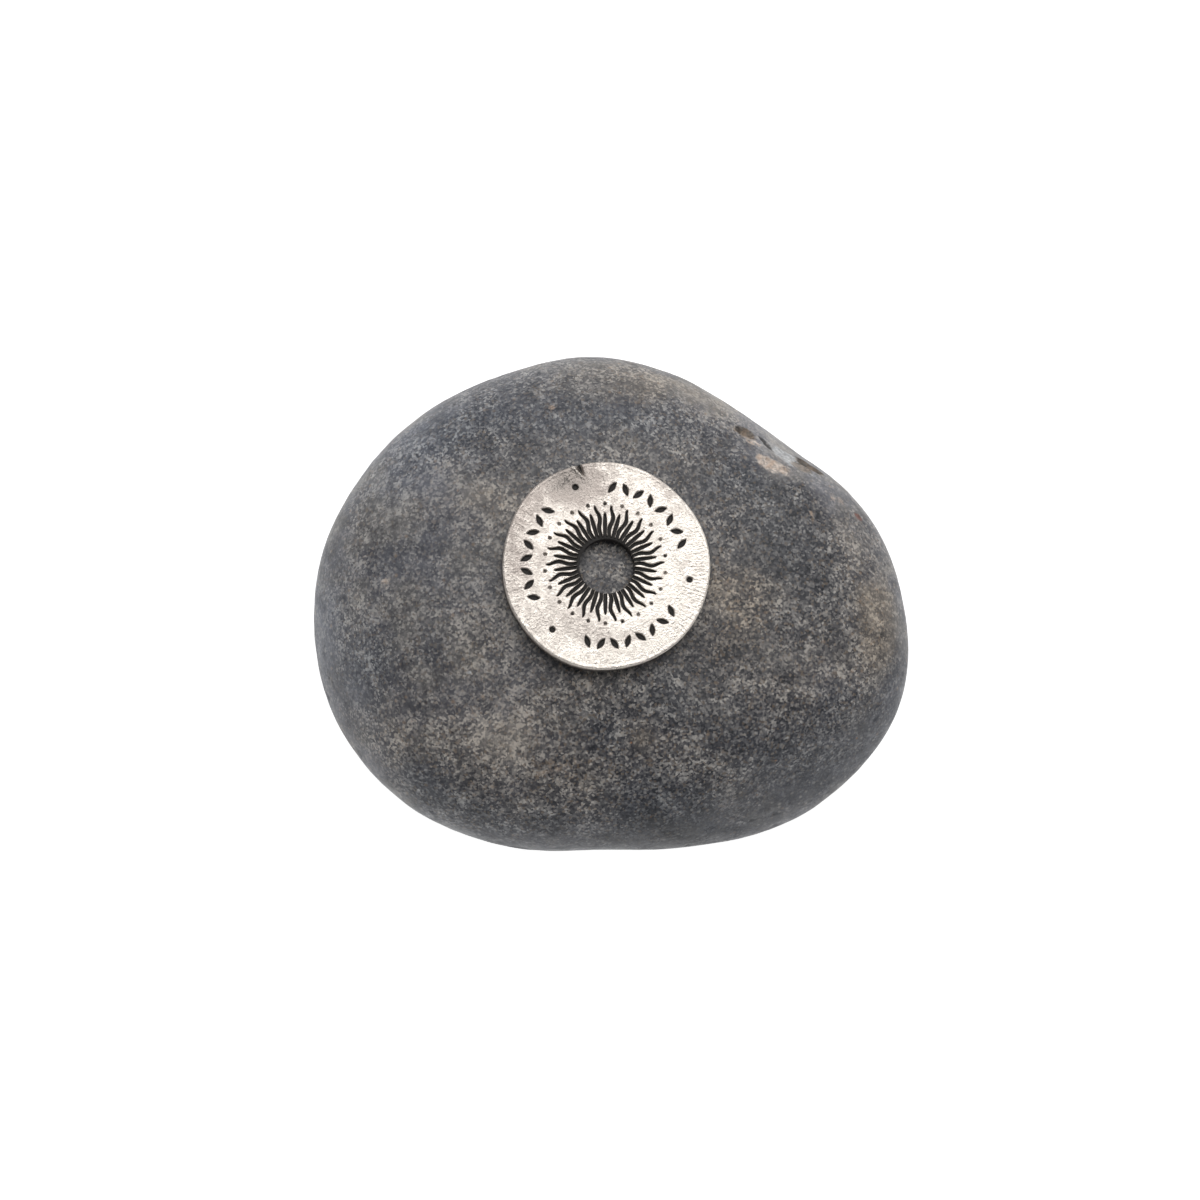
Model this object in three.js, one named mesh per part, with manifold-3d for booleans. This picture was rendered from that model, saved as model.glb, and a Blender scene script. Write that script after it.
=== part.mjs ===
// Meditation stone: a palm-size grey beach pebble with a round cast pewter disc glued to its crown.
// Millimetres, +Z up. The origin is under the middle of the pebble, on the surface that it rests on.
// +X runs along the pebble's length, and its hollowed, chipped shoulder is towards +X +Y.
import * as THREE from "three";
import { mergeVertices } from "three/addons/utils/BufferGeometryUtils.js";
import Module from "manifold-3d";

const wasm = await Module();
wasm.setup();

// Pebble: radii of its girdle before the flats are worn, at equal angles anticlockwise from +X.
const PLAN_RADII = [
  37.0, 32.9, 29.3, 29.1, 30.2, 31.2, 33.7, 35.7, 38.4, 38.2, 35.5, 32.9, 34.8, 39.5, 40.1,
];
const CROWN_HEIGHT = 14.9; // above the girdle, before the seat is worn flat
const KEEL_DEPTH = 13.6; // below the girdle, before the foot is worn flat
const FOOT_DEPTH = 12.7; // from the girdle down to the flat foot
const FOOT_BLEND = 0.35; // height over which the underside rounds into the foot
const FULLNESS = 2.25; // 2 is an ellipsoid, and more is fuller at the shoulders
const CROWN_SLOPE = 0.0034; // share of its height that the crown loses per mm towards +X
const ROUGH_SIZE = new THREE.Vector3(37, 31, 13); // spreads the surface's points evenly over the pebble
const PEBBLE_GRID = 20; // squares along each edge of the cube that is blown up into the pebble

// Broad worn flats: azimuth and elevation of the outward normal in degrees, and distance from the middle.
const WORN_FLATS = [
  { azimuth: 32, elevation: 84, distance: 14.15 }, // the seat under the disc
  { azimuth: 58, elevation: 30, distance: 29 },
  { azimuth: 200, elevation: 46, distance: 28.6 },
  { azimuth: 300, elevation: 38, distance: 28.6 },
  { azimuth: 118, elevation: -36, distance: 28.6 },
];
const FLAT_SHARPNESS = 14; // higher makes the flats meet the rounding in a tighter edge

// Soft hollows: azimuth and elevation of the middle, how wide, and how deep.
const HOLLOWS = [
  { azimuth: 37, elevation: 6, width: 5.2, depth: 0.75 },
  { azimuth: 44, elevation: 26, width: 6.0, depth: 0.55 },
];

// Long low swells over the whole surface: direction of travel, wavelength, height and phase in degrees.
const SWELLS = [
  { along: new THREE.Vector3(0.8, 0.5, 0.3), wavelength: 31, height: 0.16, phase: 20 },
  { along: new THREE.Vector3(-0.4, 0.9, 0.2), wavelength: 23, height: 0.12, phase: 140 },
  { along: new THREE.Vector3(0.2, -0.5, 0.85), wavelength: 17, height: 0.1, phase: 260 },
  { along: new THREE.Vector3(0.9, -0.3, -0.4), wavelength: 14, height: 0.07, phase: 75 },
];

// Chips in the shoulder: middle seen from above, measured from the girdle's middle before the pebble is
// centred on its outline, then length, width, depth, and turn of the length in degrees.
const CHIPS = [
  { x: 17.2, y: 19.4, length: 2.7, width: 1.3, depth: 0.65, turn: -24 },
  { x: 25.0, y: 15.7, length: 3.6, width: 1.7, depth: 0.75, turn: -34 },
  { x: 20.0, y: 17.8, length: 2.4, width: 0.7, depth: 0.35, turn: -50 },
];

// Pewter disc.
const DISC_RADIUS = 12.82; // about one inch across
const DISC_THICKNESS = 2;
const DISC_EDGE = 0.2; // rounding of the rim and of the hole's edges
const DISC_CENTRE = new THREE.Vector2(-0.75, 2.29); // on the pebble, seen from above
const DISC_LEAN = { right: 5.2, back: 2.4 }; // degrees that its face leans towards +X and +Y
const GLUE_GAP = 0.3; // between its underside and the pebble's highest point below it
const HOLE_RADIUS = 3.4;
const HOLE_OFFSET = new THREE.Vector2(0.16, -0.04); // the hand-cut hole is a little off centre
const RIM_LOBES = [
  { lobes: 2, height: 0.11, phase: 204 },
  { lobes: 3, height: 0.12, phase: 343 },
  { lobes: 6, height: 0.055, phase: 82 },
];
const RIM_STEPS = 60;
const HOLE_STEPS = 36;

// Sun around the hole: sunken rays, by turns long and wavy or short and straight, from a sunken ring.
const SUN_OFFSET = new THREE.Vector2(-0.08, 0.2); // of the sun's middle, which the hole missed a little
const RAY_COUNT = 44;
const RAY_DEPTH = 0.4;
const RAY_ROOT = 3.4; // radius where the rays leave the ring
const RING_RADIUS = 3.5;
const WAVY_TIP = 7.25;
const STRAIGHT_TIP = 6.35;
const RAY_HALF_WIDTH = 0.26;
const RAY_SWAY = 0.24; // sideways reach of a wavy ray
const RAY_BENDS = 1.3; // waves along a wavy ray
const RAY_STEPS = 5;
const BEAD_CIRCLE = 7.45; // small dots beyond the straight rays
const BEAD_RADIUS = 0.17;

// Border of punched leaves, in three arcs with a round punch between them.
const ARC_COUNT = 3;
const ARC_START = 50.8; // degrees, middle of the first arc
const LEAVES_PER_ARC = 8;
const LEAF_PITCH = 9.8; // degrees between leaves
const LEAF_CIRCLE = 9.75;
const LEAF_LENGTH = 1.6;
const LEAF_WIDTH = 0.62;
const LEAF_TILT = 32; // degrees either way from straight outwards, by turns
const LEAF_DEPTH = 0.32;
const DOT_CIRCLE = 10.4;
const DOT_RADIUS = 0.34;

// Nick in the rim: a V-shaped crease that deepens outwards, as wide to each side as it is deep.
const NICK_ANGLE = 102.2; // of its inner end
const NICK_TURN = 18; // degrees from straight outwards
const NICK_LENGTH = 2;
const NICK_HALF_WIDTH = 0.48; // at the rim

const STONE_COLOUR = new THREE.Color(0.13, 0.13, 0.135);
const PEWTER_COLOUR = new THREE.Color(0.72, 0.67, 0.62);

const radians = THREE.MathUtils.degToRad;

// Unit vector at an azimuth and elevation in degrees.
function direction(azimuth, elevation) {
  const flat = Math.cos(radians(elevation));
  return new THREE.Vector3(
    flat * Math.cos(radians(azimuth)),
    flat * Math.sin(radians(azimuth)),
    Math.sin(radians(elevation)),
  );
}

// Outline radius at an angle in radians: the smooth closed curve through PLAN_RADII, whose count is odd.
function planRadius(angle) {
  const count = PLAN_RADII.length;
  let sum = 0;
  PLAN_RADII.forEach((radius, i) => {
    const away = (angle - (2 * Math.PI * i) / count) / 2;
    const share = Math.abs(Math.sin(away)) < 1e-9 ? 1 : Math.sin(count * away) / (count * Math.sin(away));
    sum += radius * share;
  });
  return sum;
}

// Point where a ray from the pebble's middle leaves the rounded and worn form, before hollows and swells.
function wornPoint(ray) {
  const plan = Math.hypot(ray.x, ray.y) / planRadius(Math.atan2(ray.y, ray.x));
  const rise = Math.abs(ray.z) / (ray.z > 0 ? CROWN_HEIGHT : KEEL_DEPTH);
  const rounded = Math.pow(Math.pow(plan, FULLNESS) + Math.pow(rise, FULLNESS), 1 / FULLNESS);
  let sum = Math.pow(rounded, FLAT_SHARPNESS);
  for (const flat of WORN_FLATS) {
    const toFlat = ray.dot(direction(flat.azimuth, flat.elevation)) / flat.distance;
    sum += Math.pow(Math.max(0, toFlat), FLAT_SHARPNESS);
  }
  return ray.clone().multiplyScalar(Math.pow(sum, -1 / FLAT_SHARPNESS));
}

// Height above the foot: zero over the flat foot, then rounding up into the true height over FOOT_BLEND.
function aboveFoot(z) {
  const height = z + FOOT_DEPTH;
  if (height <= -FOOT_BLEND) return 0;
  if (height >= FOOT_BLEND) return height;
  return (height + FOOT_BLEND) ** 2 / (4 * FOOT_BLEND);
}

// Finished surface point on a ray from the middle, with the foot at z = 0.
function pebblePoint(ray) {
  const point = wornPoint(ray);
  let push = 0;
  for (const hollow of HOLLOWS) {
    const away = point.distanceTo(wornPoint(direction(hollow.azimuth, hollow.elevation)));
    push -= hollow.depth * Math.exp(-((away / hollow.width) ** 2));
  }
  for (const swell of SWELLS) {
    const travel = (2 * Math.PI * point.dot(swell.along)) / (swell.wavelength * swell.along.length());
    push += swell.height * Math.sin(travel + radians(swell.phase));
  }
  point.addScaledVector(ray, push);
  if (point.z > 0) point.z *= 1 - CROWN_SLOPE * point.x;
  point.z = aboveFoot(point.z);
  return point;
}

// Point of the pebble's upper side above a place seen from above, found by halving the elevation.
function crownPoint(x, y) {
  let low = 0;
  let high = 90;
  for (let i = 0; i < 30; i++) {
    const middle = (low + high) / 2;
    const point = pebblePoint(direction(THREE.MathUtils.radToDeg(Math.atan2(y, x)), middle));
    if (Math.hypot(point.x, point.y) > Math.hypot(x, y)) low = middle;
    else high = middle;
  }
  return pebblePoint(direction(THREE.MathUtils.radToDeg(Math.atan2(y, x)), low));
}

// A closed surface as a solid that can be cut and joined.
function solidOf(geometry) {
  const bare = geometry.clone();
  bare.deleteAttribute("normal");
  bare.deleteAttribute("uv");
  const merged = mergeVertices(bare, 1e-5);
  return new wasm.Manifold(
    new wasm.Mesh({
      numProp: 3,
      vertProperties: new Float32Array(merged.attributes.position.array),
      triVerts: new Uint32Array(merged.index.array),
    }),
  );
}

// A solid back as a surface.
function geometryOf(solid) {
  const mesh = solid.getMesh();
  const geometry = new THREE.BufferGeometry();
  geometry.setAttribute("position", new THREE.BufferAttribute(new Float32Array(mesh.vertProperties), 3));
  geometry.setIndex(new THREE.BufferAttribute(new Uint32Array(mesh.triVerts), 1));
  geometry.computeVertexNormals();
  return geometry;
}

// The whole pebble: a gridded cube, evened out, with each point sent to the surface.
function pebbleGeometry() {
  const size = PEBBLE_GRID;
  const geometry = new THREE.BoxGeometry(2, 2, 2, size, size, size);
  const places = geometry.attributes.position;
  const even = (share) => Math.tan((share * Math.PI) / 4);
  for (let i = 0; i < places.count; i++) {
    const ray = new THREE.Vector3(even(places.getX(i)), even(places.getY(i)), even(places.getZ(i)));
    ray.normalize().multiply(ROUGH_SIZE).normalize();
    const point = pebblePoint(ray);
    places.setXYZ(i, point.x, point.y, point.z);
  }
  return geometry;
}

// A chip as an ellipsoid lying along the surface, to be cut away.
function chipGeometry(chip) {
  const middle = crownPoint(chip.x, chip.y);
  const step = 0.5;
  const across = crownPoint(chip.x + step, chip.y).sub(middle);
  const away = crownPoint(chip.x, chip.y + step).sub(middle);
  const normal = across.cross(away).normalize();
  const geometry = new THREE.SphereGeometry(1, 12, 8);
  geometry.scale(chip.length / 2, chip.width / 2, chip.depth);
  geometry.rotateZ(radians(chip.turn));
  geometry.applyQuaternion(new THREE.Quaternion().setFromUnitVectors(new THREE.Vector3(0, 0, 1), normal));
  geometry.translate(middle.x, middle.y, middle.z);
  return geometry;
}

// Points of a shape as a prism from height bottom to height top.
function prism(points, bottom, top) {
  const geometry = new THREE.ExtrudeGeometry(new THREE.Shape(points), {
    depth: top - bottom,
    bevelEnabled: false,
  });
  geometry.translate(0, 0, bottom);
  return solidOf(geometry);
}

// Point of a plane at a radius and an angle in radians.
function polar(radius, angle) {
  return new THREE.Vector2(radius * Math.cos(angle), radius * Math.sin(angle));
}

// Points of a circle, anticlockwise.
function circle(centre, radius, steps) {
  return Array.from({ length: steps }, (_, i) => polar(radius, (2 * Math.PI * i) / steps).add(centre));
}

// Rim radius of the hand-cut disc at an angle in radians.
function rimRadius(angle) {
  return RIM_LOBES.reduce(
    (sum, lobe) => sum + lobe.height * Math.cos(lobe.lobes * angle - radians(lobe.phase)),
    DISC_RADIUS,
  );
}

// Outline of one sunken ray: half its width on either side of a middle line that sways if it is wavy.
function rayOutline(index) {
  const angle = (2 * Math.PI * index) / RAY_COUNT;
  const wavy = index % 2 === 0;
  const tip = wavy ? WAVY_TIP : STRAIGHT_TIP;
  const left = [];
  const right = [];
  for (let i = 0; i <= RAY_STEPS; i++) {
    const share = i / RAY_STEPS;
    const along = RAY_ROOT + (tip - RAY_ROOT) * share;
    const sway = wavy ? RAY_SWAY * Math.sqrt(share) * Math.sin(2 * Math.PI * RAY_BENDS * share) : 0;
    const half = RAY_HALF_WIDTH * (0.72 + 0.9 * share) * Math.sqrt(1 - share);
    right.push(new THREE.Vector2(along, sway - half));
    if (half > 0) left.unshift(new THREE.Vector2(along, sway + half));
  }
  return [...right, ...left].map((point) => point.rotateAround(new THREE.Vector2(), angle).add(SUN_OFFSET));
}

// Outline of one punched leaf: two arcs that meet in points.
function leafOutline(angle, tilt) {
  const steps = 4;
  const centre = new THREE.Vector2(LEAF_CIRCLE, 0);
  const edge = (i, side) => {
    const share = i / steps;
    const half = side * 0.5 * LEAF_WIDTH * Math.sin(Math.PI * share);
    return new THREE.Vector2(LEAF_CIRCLE + LEAF_LENGTH * (share - 0.5), half);
  };
  const points = [];
  for (let i = 0; i < steps; i++) points.push(edge(i, -1));
  for (let i = steps; i > 0; i--) points.push(edge(i, 1));
  return points.map((point) => point.rotateAround(centre, tilt).rotateAround(new THREE.Vector2(), angle));
}

// The disc lying flat, its thickness centred on z = 0, with the sun, border and nick cut into its top.
function discGeometry() {
  const top = DISC_THICKNESS / 2;
  const rim = Array.from({ length: RIM_STEPS }, (_, i) => {
    const angle = (2 * Math.PI * i) / RIM_STEPS;
    return polar(rimRadius(angle), angle);
  });
  const outline = new THREE.Shape(rim);
  outline.holes.push(new THREE.Path(circle(HOLE_OFFSET, HOLE_RADIUS, HOLE_STEPS).reverse()));
  const blank = new THREE.ExtrudeGeometry(outline, {
    depth: DISC_THICKNESS - 2 * DISC_EDGE,
    bevelThickness: DISC_EDGE,
    bevelSize: DISC_EDGE,
    bevelOffset: -DISC_EDGE,
    bevelSegments: 2,
  });
  blank.translate(0, 0, DISC_EDGE - top);
  let disc = solidOf(blank);

  const above = top + 1;
  disc = disc.subtract(prism(circle(SUN_OFFSET, RING_RADIUS, HOLE_STEPS), top - RAY_DEPTH, above));
  for (let i = 0; i < RAY_COUNT; i++) {
    disc = disc.subtract(prism(rayOutline(i), top - RAY_DEPTH, above));
    if (i % 2 === 0) continue;
    const bead = polar(BEAD_CIRCLE, (2 * Math.PI * i) / RAY_COUNT).add(SUN_OFFSET);
    disc = disc.subtract(prism(circle(bead, BEAD_RADIUS, 4), top - RAY_DEPTH / 2, above));
  }
  for (let arc = 0; arc < ARC_COUNT; arc++) {
    const middle = ARC_START + (360 / ARC_COUNT) * arc;
    for (let i = 0; i < LEAVES_PER_ARC; i++) {
      const angle = radians(middle + LEAF_PITCH * (i - (LEAVES_PER_ARC - 1) / 2));
      const tilt = radians(i % 2 === 0 ? LEAF_TILT : -LEAF_TILT);
      disc = disc.subtract(prism(leafOutline(angle, tilt), top - LEAF_DEPTH, above));
    }
    const dot = polar(DOT_CIRCLE, radians(middle + 180 / ARC_COUNT));
    disc = disc.subtract(prism(circle(dot, DOT_RADIUS, 9), top - LEAF_DEPTH, above));
  }

  const reach = NICK_LENGTH + 0.4; // from its point to beyond the rim
  const nick = new THREE.ConeGeometry((NICK_HALF_WIDTH * reach) / NICK_LENGTH, reach, 4);
  nick.rotateZ(Math.PI / 2); // its point is now towards -X, and its wide end towards +X
  nick.translate(reach / 2, 0, 0);
  nick.rotateZ(radians(NICK_TURN));
  nick.translate(DISC_RADIUS - NICK_LENGTH, 0, top);
  nick.rotateZ(radians(NICK_ANGLE));
  return geometryOf(disc.subtract(solidOf(nick)));
}

// The pebble.
let pebbleSolid = solidOf(pebbleGeometry());
for (const chip of CHIPS) pebbleSolid = pebbleSolid.subtract(solidOf(chipGeometry(chip)));
const pebbleShape = geometryOf(pebbleSolid);
pebbleShape.computeBoundingBox();
const middle = pebbleShape.boundingBox.getCenter(new THREE.Vector3());
pebbleShape.translate(-middle.x, -middle.y, 0);
const pebble = new THREE.Mesh(
  pebbleShape,
  new THREE.MeshStandardMaterial({ color: STONE_COLOUR, roughness: 0.62, metalness: 0 }),
);
pebble.name = "stone";

// The disc, leaning with the crown and lowered until the glue gap is left below it.
const disc = new THREE.Mesh(
  discGeometry(),
  new THREE.MeshStandardMaterial({ color: PEWTER_COLOUR, roughness: 0.34, metalness: 1 }),
);
disc.name = "disc";
disc.rotation.set(-radians(DISC_LEAN.back), radians(DISC_LEAN.right), 0);
const up = new THREE.Vector3(0, 0, 1).applyEuler(disc.rotation);
const seat = new THREE.Vector3(DISC_CENTRE.x, DISC_CENTRE.y, pebbleShape.boundingBox.max.z);
const places = pebbleShape.attributes.position;
let highest = -Infinity;
for (let i = 0; i < places.count; i++) {
  const away = new THREE.Vector3().fromBufferAttribute(places, i).sub(seat);
  const height = away.dot(up);
  if (away.addScaledVector(up, -height).length() < DISC_RADIUS) highest = Math.max(highest, height);
}
disc.position.copy(seat).addScaledVector(up, highest + GLUE_GAP + DISC_THICKNESS / 2);

const meditationStone = new THREE.Group();
meditationStone.add(pebble, disc);

export default meditationStone;
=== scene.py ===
"""Meditation stone: a grey beach pebble with a cast pewter disc glued to its crown.

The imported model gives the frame, in metres, with +Z up. The pebble and the disc are worked out here in
millimetres from the same named sizes as the solids, then carried into that frame. Each is one closed
surface.
"""

import logging
import math
from dataclasses import dataclass
from enum import Enum

import bpy
import numpy as np
from mathutils import Euler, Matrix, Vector


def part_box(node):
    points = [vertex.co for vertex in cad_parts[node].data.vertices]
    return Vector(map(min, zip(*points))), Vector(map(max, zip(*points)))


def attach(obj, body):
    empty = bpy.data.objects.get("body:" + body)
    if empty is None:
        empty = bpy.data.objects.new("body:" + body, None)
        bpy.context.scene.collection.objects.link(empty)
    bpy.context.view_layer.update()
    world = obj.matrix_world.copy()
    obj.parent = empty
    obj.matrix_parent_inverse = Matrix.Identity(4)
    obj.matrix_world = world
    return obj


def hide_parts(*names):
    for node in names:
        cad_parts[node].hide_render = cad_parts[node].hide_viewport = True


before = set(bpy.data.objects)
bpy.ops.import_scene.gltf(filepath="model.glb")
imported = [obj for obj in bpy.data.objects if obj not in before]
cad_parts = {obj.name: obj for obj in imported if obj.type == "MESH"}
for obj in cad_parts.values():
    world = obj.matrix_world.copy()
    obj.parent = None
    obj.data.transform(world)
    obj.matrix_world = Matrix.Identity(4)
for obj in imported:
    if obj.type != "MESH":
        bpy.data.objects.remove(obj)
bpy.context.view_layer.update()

MM = 0.001
BODY = "root"
log = logging.getLogger("meditation_stone")

Array = np.ndarray
Socket = bpy.types.NodeSocket
Pair = tuple[float, float]
Triple = tuple[float, float, float]


def direction(azimuth: float, elevation: float) -> Array:
    """Give the unit vector (cos e cos a, cos e sin a, sin e).

    Args:
        azimuth: angle a from +X towards +Y, in degrees.
        elevation: angle e above the horizon, in degrees.

    Returns:
        The vector, as an array of three numbers.
    """
    a, e = math.radians(azimuth), math.radians(elevation)
    return np.array([math.cos(e) * math.cos(a), math.cos(e) * math.sin(a), math.sin(e)])


def ease(value: Array) -> Array:
    """Give 0 below 0, 1 above 1, and t * t * (3 - 2 t) between."""
    t = np.clip(value, 0.0, 1.0)
    return t * t * (3.0 - 2.0 * t)


def soften(inset: Array, blend: float) -> Array:
    """Give the share of depth at a distance inside an outline that is soft over the blend."""
    return ease(inset / blend + 0.5)


@dataclass(frozen=True)
class LatticeNoise:
    """Smooth noise from a repeating lattice of random numbers between -1 and 1.

    Formula: a point divided by the wavelength lies in one cube of the lattice, and the values at the cube's
    eight corners are blended by ease(t) of its place t along each axis.
    """

    seed: int
    cells: int = 32

    def at(self, points: Array, wavelength: float) -> Array:
        """Work out the noise at many points.

        Args:
            points: an array whose last axis holds x, y and z.
            wavelength: the lattice's spacing, in the points' unit.

        Returns:
            The noise at each point, between -1 and 1.
        """
        table = np.random.default_rng(self.seed).uniform(-1.0, 1.0, (self.cells,) * 3)
        place = points / wavelength
        low = np.floor(place).astype(int)
        blend = ease(place - low)
        total = np.zeros(points.shape[:-1])
        for corner in np.ndindex(2, 2, 2):
            index = (low + corner) % self.cells
            weight = np.prod(np.where(corner, blend, 1.0 - blend), axis=-1)
            total += weight * table[index[..., 0], index[..., 1], index[..., 2]]
        return total


def build_object(name: str, points: Array, quads: Array, attributes: dict[str, Array]) -> bpy.types.Object:
    """Make a smooth mesh object of four-sided faces.

    Args:
        name: the object's name.
        points: the places of its vertices, in millimetres.
        quads: four vertex numbers for each face, anticlockwise seen from outside.
        attributes: a number at each vertex, for each named attribute.

    Returns:
        The new object, which stands at the origin with its place in its mesh.
    """
    mesh = bpy.data.meshes.new(name)
    mesh.vertices.add(len(points))
    mesh.vertices.foreach_set("co", (points * MM).astype(np.float32).ravel())
    mesh.loops.add(quads.size)
    mesh.loops.foreach_set("vertex_index", quads.astype(np.int32).ravel())
    mesh.polygons.add(len(quads))
    mesh.polygons.foreach_set("loop_start", np.arange(0, quads.size, 4, dtype=np.int32))
    mesh.update(calc_edges=True)
    mesh.shade_smooth()
    for key, values in attributes.items():
        layer = mesh.attributes.new(key, "FLOAT", "POINT")
        layer.data.foreach_set("value", values.astype(np.float32).ravel())
    piece = bpy.data.objects.new(name, mesh)
    bpy.context.scene.collection.objects.link(piece)
    return piece


def vertex_normals(points: Array, quads: Array) -> Array:
    """Give the outward normal at each vertex, the sum of the cross products of its faces' diagonals.

    Args:
        points: the places of the vertices.
        quads: four vertex numbers for each face, anticlockwise seen from outside.

    Returns:
        A unit vector for each vertex.
    """
    across = points[quads[:, 2]] - points[quads[:, 0]]
    along = points[quads[:, 3]] - points[quads[:, 1]]
    face = np.cross(across, along)
    total = np.stack(
        [np.bincount(quads.ravel(), np.repeat(face[:, axis], 4), len(points)) for axis in range(3)],
        axis=-1,
    )
    return total / np.linalg.norm(total, axis=-1, keepdims=True)


# Shader helpers


@dataclass(frozen=True)
class Pattern:
    """One layer of smooth noise: its wavelength in millimetres, its detail and its roughness."""

    wavelength: float
    detail: float = 2.0
    rough: float = 0.5


class Sheet:
    """One shader tree, with short ways to add the nodes that the finishes use."""

    def __init__(self, tree: bpy.types.NodeTree) -> None:
        """Keep the tree that the nodes go into."""
        self.tree = tree

    def put(self, socket: Socket, value: object) -> None:
        """Link a socket to an input, or set the input to a plain value.

        Args:
            socket: the input.
            value: another node's output, a number, a vector or a colour.
        """
        if isinstance(value, bpy.types.NodeSocket):
            self.tree.links.new(value, socket)
        elif socket.type == "RGBA" and len(value) == 3:
            socket.default_value = (*value, 1.0)
        else:
            socket.default_value = value

    def node(self, kind: str, inputs: dict[str | int, object], **settings: object) -> bpy.types.Node:
        """Add a node.

        Args:
            kind: the node's type name, without its leading "ShaderNode".
            inputs: a value or a socket for each input, by name or number.
            settings: the node's own settings.

        Returns:
            The node.
        """
        made = self.tree.nodes.new("ShaderNode" + kind)
        for key, value in settings.items():
            setattr(made, key, value)
        for key, value in inputs.items():
            self.put(made.inputs[key], value)
        return made

    def math(self, operation: str, first: object, second: object = 0.0, clamp: bool = False) -> Socket:
        """Combine two numbers by an operation such as MULTIPLY."""
        made = self.node("Math", {0: first, 1: second}, operation=operation, use_clamp=clamp)
        return made.outputs[0]

    def mix(self, share: object, first: object, second: object, blend: str = "MIX") -> Socket:
        """Mix two colours by a share of the second."""
        made = self.node("Mix", {0: share, 6: first, 7: second}, data_type="RGBA", blend_type=blend)
        return made.outputs[2]

    def between(self, value: object, old: Pair, new: Pair = (0.0, 1.0)) -> Socket:
        """Carry a number from one range to another, smoothly and without leaving the new range.

        Args:
            value: the number.
            old: the ends of the range that it comes from.
            new: what the two ends become.

        Returns:
            The number in the new range.
        """
        ends = {"From Min": old[0], "From Max": old[1], "To Min": new[0], "To Max": new[1]}
        made = self.node("MapRange", {"Value": value, **ends}, interpolation_type="SMOOTHSTEP")
        return made.outputs["Result"]

    def ramp(self, value: object, stops: tuple[tuple[float, Triple], ...]) -> Socket:
        """Turn a number into a colour between the stops.

        Args:
            value: the number, from 0 to 1.
            stops: the places and colours of the stops, in rising order.

        Returns:
            The colour.
        """
        made = self.node("ValToRGB", {0: value})
        elements = made.color_ramp.elements
        while len(elements) < len(stops):
            elements.new(0.5)
        for element, (place, colour) in zip(elements, stops):
            element.position = place
            element.color = (*colour, 1.0)
        return made.outputs["Color"]

    def noise(self, point: Socket, layer: Pattern) -> Socket:
        """Add a layer of noise, from 0 to 1."""
        inputs = {"Scale": 1.0 / layer.wavelength, "Detail": layer.detail, "Roughness": layer.rough}
        return self.node("TexNoise", {"Vector": point, **inputs}).outputs["Fac"]

    def ripple(self, point: Socket, layer: Pattern) -> Socket:
        """Add a layer of noise about zero, from -0.5 to 0.5."""
        return self.math("SUBTRACT", self.noise(point, layer), 0.5)

    def grey(self, value: Socket) -> Socket:
        """Make a grey of a number."""
        return self.node("CombineColor", {0: value, 1: value, 2: value}).outputs[0]

    def cells(self, point: object, size: float) -> bpy.types.Node:
        """Add grains of a size in millimetres, each with its own random colour."""
        return self.node("TexVoronoi", {"Vector": point, "Scale": 1.0 / size})

    def attribute(self, name: str) -> Socket:
        """Read a number that the mesh holds at each vertex."""
        return self.node("Attribute", {}, attribute_name=name).outputs["Fac"]

    def millimetres(self) -> Socket:
        """Give the place on the object in millimetres."""
        place = self.node("TexCoord", {}).outputs["Object"]
        return self.node("VectorMath", {0: place, 3: 1.0 / MM}, operation="SCALE").outputs[0]


@dataclass(frozen=True)
class Tooth:
    """The fine tooth that sand and handling leave on both materials.

    It is a fine noise whose scuffs come and go in patches. The patches' fineness is a share of the tooth's.
    """

    name: str = "fine tooth"
    detail: float = 4.0
    rough: float = 0.62
    patch_share: float = 0.18
    patch_detail: float = 2.0
    patch_rough: float = 0.5
    scuff_range: Pair = (0.15, 0.4)

    def noise(self, sheet: Sheet, point: Socket, fineness: Socket, detail: float, rough: float) -> Socket:
        """Add a noise whose fineness is a socket's."""
        inputs = {"Vector": point, "Scale": fineness, "Detail": detail, "Roughness": rough}
        return sheet.node("TexNoise", inputs).outputs["Fac"]

    def group(self) -> bpy.types.NodeTree:
        """Build the group of nodes, or give the one that is built already.

        Returns:
            A group with the inputs Point, in millimetres, and Fineness, in waves per millimetre, and with
            the outputs Height and Scuff, both from 0 to 1.
        """
        if self.name in bpy.data.node_groups:
            return bpy.data.node_groups[self.name]
        tree = bpy.data.node_groups.new(self.name, "ShaderNodeTree")
        tree.interface.new_socket("Point", in_out="INPUT", socket_type="NodeSocketVector")
        for title, way in (("Fineness", "INPUT"), ("Height", "OUTPUT"), ("Scuff", "OUTPUT")):
            tree.interface.new_socket(title, in_out=way, socket_type="NodeSocketFloat")
        sheet = Sheet(tree)
        given = tree.nodes.new("NodeGroupInput")
        result = tree.nodes.new("NodeGroupOutput")
        point, fineness = given.outputs["Point"], given.outputs["Fineness"]
        fine = self.noise(sheet, point, fineness, self.detail, self.rough)
        broad = sheet.math("MULTIPLY", fineness, self.patch_share)
        patches = self.noise(sheet, point, broad, self.patch_detail, self.patch_rough)
        sheet.put(result.inputs["Height"], fine)
        scuff = sheet.math("MULTIPLY", fine, patches)
        sheet.put(result.inputs["Scuff"], sheet.between(scuff, self.scuff_range))
        return tree


def new_material(name: str) -> tuple[bpy.types.Material, Sheet, bpy.types.Node]:
    """Start a material.

    Args:
        name: its name.

    Returns:
        The material, its sheet of nodes and its Principled shader.
    """
    material = bpy.data.materials.new(name)
    material.use_nodes = True
    shader = next(node for node in material.node_tree.nodes if node.type == "BSDF_PRINCIPLED")
    return material, Sheet(material.node_tree), shader


class Tint(Enum):
    """What a mark on the pebble is coloured by."""

    RUST = "rust"
    OCHRE = "ochre"
    ASH = "ash"
    SOOT = "soot"
    IRON = "iron"


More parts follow.
